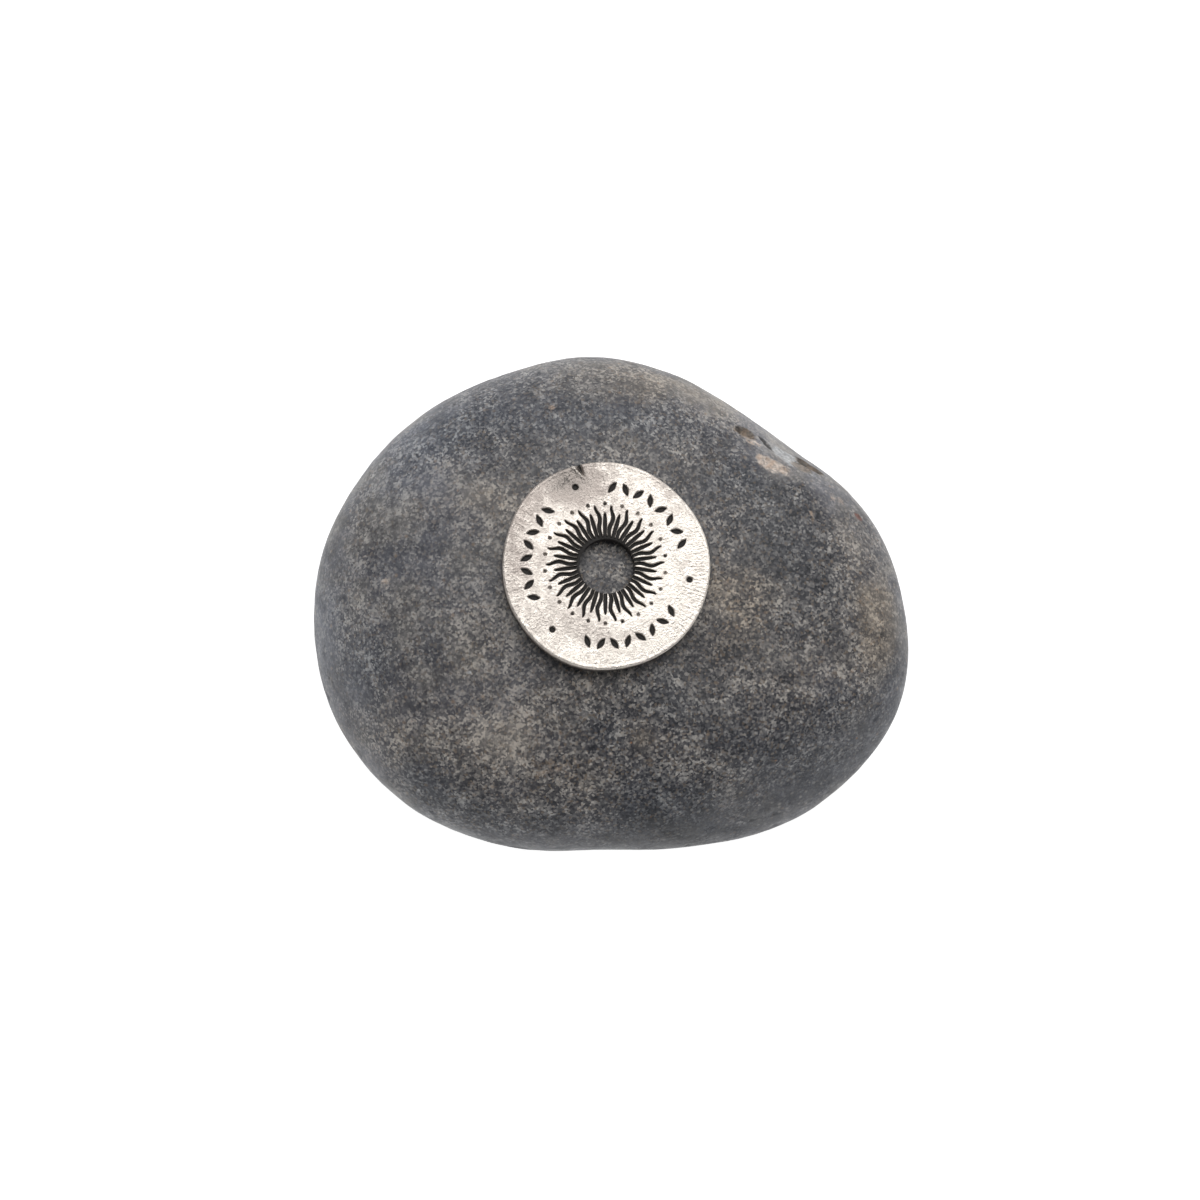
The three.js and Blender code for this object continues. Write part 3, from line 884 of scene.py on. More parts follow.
@dataclass(frozen=True)
class Pebble:
    """The pebble: its form, the fine unevenness of its skin, its chips, stains and pinholes.

    Sizes are in millimetres, and each pair of waves is a wavelength and a height. The clouds fade in
    upwards from the crown's start. A stain ends at its reach, where 1 is its mark's edge.
    """

    form: PebbleForm = PebbleForm()
    finish: StoneFinish = StoneFinish()
    grid: int = 128
    rough_size: Triple = (37.0, 31.0, 13.0)
    skin_waves: tuple[Pair, ...] = ((7.0, 0.07), (3.1, 0.035), (1.5, 0.022), (0.8, 0.016))
    skin_seed: int = 31
    rag_waves: tuple[Pair, ...] = ((1.6, 1.0), (0.8, 0.6))
    rag_seed: int = 16
    rag_reach: float = 0.45
    stain_reach: float = 1.7
    pinholes: int = 320
    pinhole_radius: Pair = (0.35, 0.8)
    pinhole_depth: Pair = (0.04, 0.16)
    pinhole_seed: int = 11
    foot_fade: float = 0.6
    crown_start: float = 6.0
    crown_blend: float = 8.0
    film_top: float = 22.0
    film_blend: float = 9.0
    film_bend: float = 2.5
    bend_wavelength: float = 4.0
    bend_reach: float = 1.6
    bend_seed: int = 51
    marks: tuple[Mark, ...] = (
        Mark(16.9, 20.7, 2.7, 1.6, -22, 0.6, Tint.RUST, 1.0, 0.5),
        Mark(16.1, 21.1, 1.1, 1.1, -22, 0.0, Tint.SOOT, 0.8, 0.4),
        Mark(17.2, 20.3, 1.8, 0.5, -16, 0.1, Tint.SOOT, 0.8, 0.4),
        Mark(17.7, 19.6, 2.6, 0.8, -28, 0.0, Tint.OCHRE, 0.6, 0.6),
        Mark(25.0, 16.9, 3.3, 1.7, -34, 0.65, Tint.RUST, 1.0, 0.5),
        Mark(23.9, 17.7, 1.6, 0.8, -38, 0.1, Tint.SOOT, 0.55, 0.4),
        Mark(23.9, 16.7, 2.6, 1.8, -40, 0.2, Tint.RUST, 0.95, 0.8),
        Mark(25.6, 15.4, 2.6, 0.6, -34, 0.0, Tint.ASH, 0.6, 0.6),
        Mark(19.6, 19.3, 2.6, 0.6, -50, 0.32, Tint.SOOT, 1.0, 0.3),
        Mark(20.4, 16.3, 3.6, 2.0, -25, 0.16, Tint.OCHRE, 0.85, 0.8),
        Mark(22.3, 17.9, 4.6, 2.8, -32, 0.12, Tint.ASH, 0.9, 0.7),
        Mark(18.9, 18.6, 1.6, 1.0, -32, 0.0, Tint.ASH, 0.6, 0.7),
        Mark(31.1, 10.3, 1.2, 0.8, -40, 0.06, Tint.IRON, 1.0, 0.2),
        Mark(24.9, 9.9, 0.35, 0.9, 20, 0.0, Tint.OCHRE, 0.8, 0.3),
        Mark(25.5, 9.0, 0.8, 0.3, -20, 0.0, Tint.OCHRE, 0.75, 0.3),
        Mark(33.9, -4.9, 0.7, 0.8, 0, 0.05, Tint.SOOT, 0.75, 0.4),
        Mark(14.6, 0.6, 0.9, 1.0, 0, 0.0, Tint.OCHRE, 0.45, 0.9),
        Mark(28.4, 12.0, 1.9, 1.2, -30, 0.0, Tint.OCHRE, 0.5, 0.9),
        Mark(13.2, 10.4, 0.55, 0.45, 0, 0.16, Tint.SOOT, 0.9, 0.2),
        Mark(17.4, 10.4, 0.8, 0.6, 0, 0.05, Tint.OCHRE, 0.7),
        Mark(12.4, 16.0, 4.5, 3.2, 10, 0.0, Tint.RUST, 0.34, 1.0),
        Mark(-15.7, -11.6, 0.55, 0.45, 0, 0.0, Tint.OCHRE, 0.9, 0.2),
        Mark(-8.3, -21.9, 3.6, 2.0, 25, 0.0, Tint.RUST, 0.45, 1.0),
        Mark(-7.6, -22.3, 2.6, 1.4, 10, 0.0, Tint.OCHRE, 0.45, 1.0),
        Mark(-19.2, -17.5, 0.8, 0.6, 30, 0.06, Tint.SOOT, 0.8, 0.4),
        Mark(-11.8, -16.1, 0.5, 0.45, 0, 0.14, Tint.SOOT, 0.8, 0.2),
        Mark(-35.3, -10.0, 0.8, 0.6, 80, 0.06, Tint.SOOT, 0.8, 0.4),
        Mark(-6.6, 19.5, 0.8, 0.6, 0, 0.06, Tint.SOOT, 0.7, 0.4),
        Mark(-15.7, -2.5, 0.9, 0.7, 0, 0.03, Tint.OCHRE, 0.5, 0.6),
        Mark(-7.5, 22.9, 0.9, 0.6, 15, 0.0, Tint.OCHRE, 0.7, 0.5),
        Mark(-4.1, -21.1, 0.6, 0.5, 0, 0.0, Tint.OCHRE, 0.7, 0.5),
        Mark(0.1, -20.4, 0.6, 0.4, 0, 0.0, Tint.OCHRE, 0.6, 0.5),
        Mark(3.4, 24.2, 2.2, 0.7, 70, 0.0, Tint.RUST, 0.5, 0.8),
        Mark(4.0, 27.7, 1.7, 0.6, 75, 0.0, Tint.RUST, 0.5, 0.8),
        Mark(-27.7, 0.7, 1.4, 1.0, 0, 0.0, Tint.OCHRE, 0.5, 0.9),
        Mark(-17.4, -10.7, 0.5, 0.45, 0, 0.0, Tint.ASH, 0.9, 0.2),
        Mark(19.9, -10.7, 1.0, 0.8, 0, 0.0, Tint.OCHRE, 0.5, 0.8),
    )
    clouds: tuple[ToneAndShadeCloud, ...] = (
        ToneAndShadeCloud(6.5, -26.1, 11, 7.5, 0, -1.15, -0.6),
        ToneAndShadeCloud(0.2, -18.0, 7, 5, -30, -0.8, -0.4),
        ToneAndShadeCloud(13.0, -17.5, 9, 6, -20, -0.5, -0.3),
        ToneAndShadeCloud(21.5, -19.5, 11, 6, 15, -0.9, -0.5),
        ToneAndShadeCloud(28.0, -14.5, 7, 4, 20, -0.5, -0.3),
        ToneAndShadeCloud(21.4, 4.7, 11.5, 15, 6, -1.85, -0.5),
        ToneAndShadeCloud(16.5, 14.3, 11, 6, -30, -0.7, -0.5),
        ToneAndShadeCloud(-1.4, 21.8, 24, 5, -4, -0.6, -0.5),
        ToneAndShadeCloud(-26.4, 4.2, 6, 4, 20, -0.6, -0.1),
        ToneAndShadeCloud(-22.0, -7.7, 5, 4, 0, -0.7, -0.2),
        ToneAndShadeCloud(-30.7, -9.2, 6, 9, 0, -0.5, -0.6),
        ToneAndShadeCloud(-23.8, -24.1, 9, 5, -30, -0.8, -0.5),
        ToneAndShadeCloud(-14.0, -28.5, 12, 4, -8, -0.9, -0.5),
        # Painted shade: darker along the lower edge.
        ToneAndShadeCloud(12.0, -29.0, 14, 4, 5, -1.0, -0.5),
        ToneAndShadeCloud(-20.0, 19.5, 17, 8, 30, -0.4, -0.8),
        ToneAndShadeCloud(-22.6, 14.3, 10, 7, -30, 0.7, 0.2),
        ToneAndShadeCloud(-14.6, 10.8, 9, 5.5, 8, 0.5, 0.4),
        ToneAndShadeCloud(-16.0, -14.9, 14, 11, 28, 1.05, 0.1),
        ToneAndShadeCloud(-26.4, -15.6, 5, 8, 0, 0.6, 0.2),
        ToneAndShadeCloud(-15.6, -6.4, 9, 9, 15, -0.6, 0.1),
        ToneAndShadeCloud(-11.0, 16.8, 15, 8, -6, -0.6, -0.1),
        ToneAndShadeCloud(6.5, -13.4, 8, 6, 0, -1.15, -0.3),
        ToneAndShadeCloud(2.0, -28.0, 20, 5, 0, -0.8, -0.5),
        ToneAndShadeCloud(-12.3, -18.7, 13, 9, -8, 0.85, 0.2),
        ToneAndShadeCloud(-23.5, 9.0, 8.5, 20, 4, 0.75, 0.0),
        ToneAndShadeCloud(14.6, -7.8, 12, 8.5, -12, -1.0, 0.0),
        ToneAndShadeCloud(27.4, -11.4, 9, 7, -35, 0.4, 0.0),
        # Painted shade: a dark band along the lower edge. The three after it make the left, right and top
        # edges lighter.
        ToneAndShadeCloud(3.0, -31.5, 60, 5, 2, -2.4, -0.5),
        ToneAndShadeCloud(-37.0, -5.0, 6, 24, 0, 0.6, -0.5),
        ToneAndShadeCloud(33.0, 1.0, 8, 16, 0, 0.5, 0.0),
        ToneAndShadeCloud(10.0, 24.0, 24, 8, -8, 0.4, 0.0),
        ToneAndShadeCloud(15.2, 1.0, 3.5, 4, 0, 0.1, 1.2),
        ToneAndShadeCloud(34.0, -4.5, 3.5, 8, -8, 0.0, 1.2),
        ToneAndShadeCloud(-25.0, 3.0, 28, 34, 0, 0.0, -0.2, 0.5),
        ToneAndShadeCloud(0.0, 25.0, 44, 14, 0, 0.0, -0.1, 0.35),
        ToneAndShadeCloud(24.9, -9.0, 8, 7, 0, 0.8, 0.2),
        ToneAndShadeCloud(3.8, -19.0, 3.5, 4.5, 30, 0.9, 0.7),
        ToneAndShadeCloud(30.2, 6.5, 4, 14, 25, 0.8, 0.2),
        # Painted highlight: lighter along the top edge, where the light catches it.
        ToneAndShadeCloud(4.9, 26.7, 13, 5, -8, 0.8, 0.6),
        ToneAndShadeCloud(-2.6, -12.6, 9, 4, 20, 0.6, 0.1),
        ToneAndShadeCloud(-2.6, -25.4, 5, 10, 0, 0.5, 0.2),
        ToneAndShadeCloud(16.3, -1.5, 9, 13, -10, 0.25, 0.9),
        ToneAndShadeCloud(-31.0, -2.0, 5, 9, 0, 0.4, 0.0),
        ToneAndShadeCloud(33.0, -3.5, 4, 12, 0, 0.5, 0.6),
        ToneAndShadeCloud(-19.0, -3.0, 34, 44, 0, 0.6, 0.1),
        # Painted shade: these five darken the lower edge and its right end.
        ToneAndShadeCloud(30.0, -20.5, 16, 7, 42, -1.4, -0.5),
        ToneAndShadeCloud(35.5, -11.0, 5, 12, -12, -0.8, -0.4),
        ToneAndShadeCloud(17.5, -26.0, 13, 6, 22, -0.9, -0.2),
        ToneAndShadeCloud(-19.0, -27.5, 18, 5, -27, -0.8, -0.3),
        ToneAndShadeCloud(24.8, -22.0, 10, 5, 38, -0.6, -0.2),
        ToneAndShadeCloud(-27.0, 18.0, 16, 9, 48, 0.7, -0.2),
        ToneAndShadeCloud(14.0, 24.5, 16, 5, -28, 0.6, 0.3),
        ToneAndShadeCloud(21.4, 17.1, 13, 4.6, -34, 1.9, 0.1, 0.75),
        ToneAndShadeCloud(27.5, 13.2, 7, 4, -36, 0.8, 0.0, 0.4),
    )

    def lattice(self) -> tuple[Array, Array]:
        """Lay a grid over a cube and send it to unit rays.

        Formula: a lattice place c from -1 to 1 becomes tan(pi c / 4). The place on the cube is normalised,
        multiplied by the rough size and normalised again, which spreads the points evenly over the pebble.

        Returns:
            The rays, and the faces as four vertex numbers each.
        """
        n = self.grid
        first, second = np.meshgrid(np.arange(n + 1), np.arange(n + 1), indexing="ij")
        corners, sides = [], []
        for axis in range(3):
            for level in (0, n):
                side = np.zeros((n + 1, n + 1, 3), dtype=int)
                side[..., axis] = level
                side[..., (axis + 1) % 3] = first
                side[..., (axis + 2) % 3] = second
                corners.append(side.reshape(-1, 3))
                sides.append(level == n)
        places = np.concatenate(corners)
        code = places @ [1, n + 1, (n + 1) ** 2]
        _, keep, number = np.unique(code, return_index=True, return_inverse=True)
        number = number.reshape(6, n + 1, n + 1)
        quads = []
        for grid, outward in zip(number, sides):
            ring = [grid[:-1, :-1], grid[1:, :-1], grid[1:, 1:], grid[:-1, 1:]]
            quad = np.stack(ring, axis=-1).reshape(-1, 4)
            quads.append(quad if outward else quad[:, ::-1])
        cube = np.tan((places[keep] * 2.0 / n - 1.0) * math.pi / 4.0)
        rays = cube / np.linalg.norm(cube, axis=-1, keepdims=True) * self.rough_size
        return rays / np.linalg.norm(rays, axis=-1, keepdims=True), np.concatenate(quads)

    def place_on_crown(self, points: Array, x: float, y: float) -> int:
        """Find the vertex of the upper side that lies nearest to a place seen from above."""
        away = np.hypot(points[:, 0] - x, points[:, 1] - y)
        return int(np.argmin(np.where(points[:, 2] > self.form.foot_depth, away, np.inf)))

    def tones(self, points: Array) -> dict[str, Array]:
        """Work out how light and how warm the skin is, and how much of the grain it hides.

        Formula: each cloud adds its light, warmth and film times its share at the place bent by noise. The
        underside has none. The film also thickens down the sides, as ease((top - z) / blend), and its edge
        is bent by the same noise. Besides the rock's own tone, the light holds painted shade along the
        lower edge and a painted highlight at the top edge.

        Args:
            points: all vertices, in millimetres.

        Returns:
            The light, the warmth and the film at each vertex.
        """
        noises = (LatticeNoise(self.bend_seed + axis) for axis in range(2))
        bend = [noise.at(points, self.bend_wavelength) for noise in noises]
        upper = ease((points[:, 2] - self.crown_start) / self.crown_blend)
        light, warm = np.zeros(len(points)), np.zeros(len(points))
        film = ease((self.film_top - points[:, 2] + self.film_bend * bend[0]) / self.film_blend)
        x, y = (points[:, axis] + self.bend_reach * bend[axis] for axis in range(2))
        for cloud in self.clouds:
            share = cloud.share(x, y) * upper
            light += cloud.light * share
            warm += cloud.warm * share
            film += cloud.film * share
        return {"light": light, "warm": warm, "film": np.clip(film, 0.0, 1.0)}

    def press_mark(self, mark: Mark, points: Array, normals: Array, rag: Array) -> tuple[Array, Array]:
        """Work out one mark.

        Formula: with u and v the place along its length and width over half of each, q = sqrt(u^2 + v^2)
        plus ragged noise. The stain is strength * ease(reach - q), and the depth falls as sqrt(1 - q^2).

        Args:
            mark: the mark.
            points: all vertices, in millimetres.
            normals: their outward normals.
            rag: the ragged noise at each vertex.

        Returns:
            The share of stain and the depth at each vertex.
        """
        middle = self.place_on_crown(points, mark.x, mark.y)
        offset = points - points[middle]
        turn = math.radians(mark.turn)
        across = np.array([-math.sin(turn), math.cos(turn), 0.0])
        along = np.cross(across, normals[middle])
        along /= np.linalg.norm(along)
        across = np.cross(normals[middle], along)
        u = offset @ along / (mark.length / 2.0)
        v = offset @ across / (mark.width / 2.0)
        lift = offset @ normals[middle] / mark.length
        q = np.sqrt(u * u + v * v + lift * lift) + mark.ragged * self.rag_reach * rag
        stain = mark.strength * ease(self.stain_reach - q)
        return stain, mark.depth * np.sqrt(np.clip(1.0 - q * q, 0.0, 1.0))

    def unevenness(self, points: Array, waves: tuple[Pair, ...], seed: int) -> Array:
        """Give the sum over the waves of height times noise.

        Args:
            points: all vertices, in millimetres.
            waves: the wavelength and the height of each wave.
            seed: the first wave's seed.

        Returns:
            The sum at each vertex.
        """
        height = np.zeros(len(points))
        for i, (wavelength, rise) in enumerate(waves):
            height += rise * LatticeNoise(seed + i).at(points, wavelength)
        return height

    def pits(self, points: Array) -> Array:
        """Give the depth of the pinholes: depth * (1 - (away / radius)^2), in seeded random places.

        Args:
            points: all vertices, in millimetres.

        Returns:
            The depth at each vertex.
        """
        draw = np.random.default_rng(self.pinhole_seed)
        depth = np.zeros(len(points))
        for middle in draw.integers(0, len(points), self.pinholes):
            radius = draw.uniform(*self.pinhole_radius)
            deep = draw.uniform(*self.pinhole_depth)
            away = np.linalg.norm(points - points[middle], axis=-1) / radius
            depth = np.maximum(depth, deep * np.clip(1.0 - away * away, 0.0, 1.0))
        return depth

    def build(self) -> bpy.types.Object:
        """Build and dress the pebble.

        Returns:
            The pebble's object.
        """
        rays, quads = self.lattice()
        points = self.form.surface(rays)
        points[:, :2] -= (points[:, :2].max(axis=0) + points[:, :2].min(axis=0)) / 2.0
        normals = vertex_normals(points, quads)
        depth = self.pits(points) - self.unevenness(points, self.skin_waves, self.skin_seed)
        stains = {tint.value: np.zeros(len(points)) for tint in Tint}
        chipped = np.zeros(len(points))
        rag = self.unevenness(points, self.rag_waves, self.rag_seed)
        for mark in self.marks:
            stain, deep = self.press_mark(mark, points, normals, rag)
            stains[mark.tint.value] = np.maximum(stains[mark.tint.value], stain)
            chipped = np.maximum(chipped, deep)
        stains.update(self.tones(points))
        foot = ease(points[:, 2] / self.foot_fade)
        points = points - normals * ((depth + chipped) * foot)[:, None]
        points[:, 2] = np.maximum(points[:, 2], 0.0)
        piece = build_object("pebble", points, quads, stains)
        piece.data.materials.append(self.finish.material())
        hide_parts("stone")
        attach(piece, BODY)
        return piece


# Disc


@dataclass(frozen=True)
class Sun:
    """The sunk sun around the hole: rays by turns long and wavy or short and straight, from a ring.

    Sizes are in millimetres. A ray's width starts at its root share and grows by its growth, and a bead
    beyond each straight ray is sunk by a share of the depth.
    """

    rays: int = 44
    offset: Pair = (-0.08, 0.2)
    root: float = 3.4
    ring: float = 3.5
    wavy_tip: float = 7.25
    straight_tip: float = 6.35
    half_width: float = 0.26
    root_share: float = 0.72
    growth: float = 0.9
    sway: float = 0.24
    bends: float = 1.3
    bead_circle: float = 7.45
    bead_radius: float = 0.18
    bead_share: float = 0.6
    blend: float = 0.09

    def pitch(self) -> float:
        """Give the angle from one ray to the next of its kind, in radians."""
        return 4.0 * math.pi / self.rays

    def from_ray(self, angle: Array, offset: float) -> Array:
        """Give the angle from the nearest ray of the kind that starts at an offset."""
        return angle - offset - np.round((angle - offset) / self.pitch()) * self.pitch()

    def ray_mask(self, radius: Array, angle: Array, tip: float, sway: float, offset: float) -> Array:
        """Give the share of depth of one kind of ray.

        Formula: the place along the ray from its root to its tip is t, its middle line sways by
        sway * sqrt(t) * sin(2 pi bends t), and half its width is
        half_width * (root_share + growth * t) * sqrt(1 - t).

        Args:
            radius: distances from the sun's middle.
            angle: angles around it, in radians.
            tip: how far the ray reaches.
            sway: how far it sways.
            offset: the first ray's angle.

        Returns:
            The share at each place, from 0 to 1.
        """
        away = self.from_ray(angle, offset)
        t = (radius * np.cos(away) - self.root) / (tip - self.root)
        inside = np.clip(t, 0.0, 1.0)
        line = sway * np.sqrt(inside) * np.sin(2.0 * math.pi * self.bends * inside)
        half = self.half_width * (self.root_share + self.growth * inside) * np.sqrt(1.0 - inside)
        side = half - np.abs(radius * np.sin(away) - line)
        return np.where(t < 1.0, soften(side, self.blend), 0.0)

    def mask(self, x: Array, y: Array) -> Array:
        """Give the share of depth of the whole sun.

        Args:
            x: places along the disc's own +X from its middle, in millimetres.
            y: places along its +Y.

        Returns:
            The share at each place, from 0 to 1.
        """
        x, y = x - self.offset[0], y - self.offset[1]
        radius, angle = np.hypot(x, y), np.arctan2(y, x)
        between = self.pitch() / 2.0
        wavy = self.ray_mask(radius, angle, self.wavy_tip, self.sway, 0.0)
        straight = self.ray_mask(radius, angle, self.straight_tip, 0.0, between)
        ring = soften(self.ring - radius, self.blend)
        away = self.from_ray(angle, between)
        bead = np.hypot(radius * np.cos(away) - self.bead_circle, radius * np.sin(away))
        beads = self.bead_share * soften(self.bead_radius - bead, self.blend)
        return np.maximum(np.maximum(wavy, straight), np.maximum(ring, beads))


@dataclass(frozen=True)
class LeafBorder:
    """The border of punched leaves, in arcs with a round punch between them."""

    arcs: int = 3
    start: float = 50.8
    leaves: int = 8
    pitch: float = 9.8
    circle: float = 9.75
    length: float = 1.6
    width: float = 0.62
    tilt: float = 32.0
    dot_circle: float = 10.4
    dot_radius: float = 0.34
    blend: float = 0.09

    def leaf(self, x: Array, y: Array, angle: float, tilt: float) -> Array:
        """Give the share of depth of one leaf.

        Formula: with u the place along the leaf from 0 to 1, it is width * sin(pi u) wide.

        Args:
            x: places along the disc's own +X from its middle, in millimetres.
            y: places along its +Y.
            angle: the leaf's place round the disc, in radians.
            tilt: the leaf's turn away from the spoke, in radians.

        Returns:
            The share at each place, from 0 to 1.
        """
        cos, sin = math.cos(angle), math.sin(angle)
        out, side = x * cos + y * sin - self.circle, y * cos - x * sin
        cos, sin = math.cos(tilt), math.sin(tilt)
        along, away = out * cos + side * sin, side * cos - out * sin
        u = np.clip(along / self.length + 0.5, 0.0, 1.0)
        half = 0.5 * self.width * np.sin(math.pi * u)
        share = soften(half - np.abs(away), self.blend)
        return np.where(np.abs(along) < self.length / 2.0, share, 0.0)

    def mask(self, x: Array, y: Array) -> Array:
        """Give the share of depth of the whole border.

        Args:
            x: places along the disc's own +X from its middle, in millimetres.
            y: places along its +Y.

        Returns:
            The share at each place, from 0 to 1.
        """
        total = np.zeros_like(x)
        for arc in range(self.arcs):
            middle = self.start + 360.0 / self.arcs * arc
            for i in range(self.leaves):
                angle = math.radians(middle + self.pitch * (i - (self.leaves - 1) / 2.0))
                tilt = math.radians(self.tilt if i % 2 == 0 else -self.tilt)
                total = np.maximum(total, self.leaf(x, y, angle, tilt))
            dot = math.radians(middle + 180.0 / self.arcs)
            away = np.hypot(x - self.dot_circle * math.cos(dot), y - self.dot_circle * math.sin(dot))
            total = np.maximum(total, soften(self.dot_radius - away, self.blend))
        return total


@dataclass(frozen=True)
class Nick:
    """The V-shaped crease in the rim: a raised lip stands to its left, and a shallow dent lies below it.

    Sizes are in millimetres and angles in degrees. The crease deepens on past the rim up to its overrun,
    and it is nowhere narrower than its least share of the width. The black is full at its depth, and on the
    left flank it ends at its side; the black on the right flank is painted shade.
    """

    angle: float = 102.2
    turn: float = 18.0
    length: float = 2.0
    depth: float = 0.48
    half_width: float = 0.48
    overrun: float = 1.2
    least_share: float = 0.05
    black_share: float = 0.9
    black_depth: float = 0.3
    black_side: float = 0.12
    dent_depth: float = 0.16
    dent_width: float = 2.7
    dent_place: Pair = (-4.6, 10.5)
    lip_height: float = 0.1
    lip_width: float = 0.24
    lip_place: float = 0.6

    def cut(self, x: Array, y: Array, rim: float) -> Array:
        """Give the depth that the crease reaches below the face.

        Formula: with t the place from the crease's inner end to the rim, its middle is depth * t deep, and
        its sides rise to the face over half_width * t.

        Args:
            x: places along the disc's own +X from its middle, in millimetres.
            y: places along its +Y.
            rim: the disc's radius.

        Returns:
            The depth at each place.
        """
        along, side = self.frame(x, y, rim)
        t = np.clip(along / self.length, 0.0, self.overrun)
        rise = np.abs(side) / (self.half_width * np.maximum(t, self.least_share))
        return self.depth * t * np.clip(1.0 - rise, 0.0, 1.0)

    def frame(self, x: Array, y: Array, rim: float) -> tuple[Array, Array]:
        """Measure along the crease, from its inner end, and across it, to its left.

        Args:
            x: places along the disc's own +X from its middle, in millimetres.
            y: places along its +Y.
            rim: the disc's radius.

        Returns:
            The two distances at each place.
        """
        start = math.radians(self.angle)
        heading = math.radians(self.angle + self.turn)
        out = (x - (rim - self.length) * math.cos(start), y - (rim - self.length) * math.sin(start))
        along = out[0] * math.cos(heading) + out[1] * math.sin(heading)
        side = out[1] * math.cos(heading) - out[0] * math.sin(heading)
        return along, side

    def grime_and_painted_shade(self, x: Array, y: Array, rim: float) -> Array:
        """Give the black in the crease: all of its right flank, as painted shade, and its left one close to
        the bottom.

        Args:
            x: places along the disc's own +X from its middle, in millimetres.
            y: places along its +Y.
            rim: the disc's radius.

        Returns:
            The share of black at each place.
        """
        side = self.frame(x, y, rim)[1]
        deep = ease(self.cut(x, y, rim) / self.black_depth)
        left = self.black_share * ease(1.0 - side / self.black_side)
        return deep * np.where(side < 0.0, self.black_share, left)

    def lip(self, x: Array, y: Array, rim: float) -> Array:
        """Give the height of the lip.

        Formula: with t the place from the crease's inner end to the rim, and s the place across it to its
        left, it is lip_height * sqrt(t) * exp(-((s - lip_place * t) / lip_width)^2).

        Args:
            x: places along the disc's own +X from its middle, in millimetres.
            y: places along its +Y.
            rim: the disc's radius.

        Returns:
            The height at each place.
        """
        along, side = self.frame(x, y, rim)
        t = np.clip(along / self.length, 0.0, 1.0)
        away = (side - self.lip_place * t) / self.lip_width
        return self.lip_height * np.sqrt(t) * np.exp(-(away**2))

    def dent(self, x: Array, y: Array) -> Array:
        """Give the dent's depth: dent_depth * exp(-(away / dent_width)^2)."""
        away = np.hypot(x - self.dent_place[0], y - self.dent_place[1])
        return self.dent_depth * np.exp(-((away / self.dent_width) ** 2))


@dataclass(frozen=True)
class DullPatch(Patch):
    """One patch of the face that is made duller, and by how much."""

    strength: float


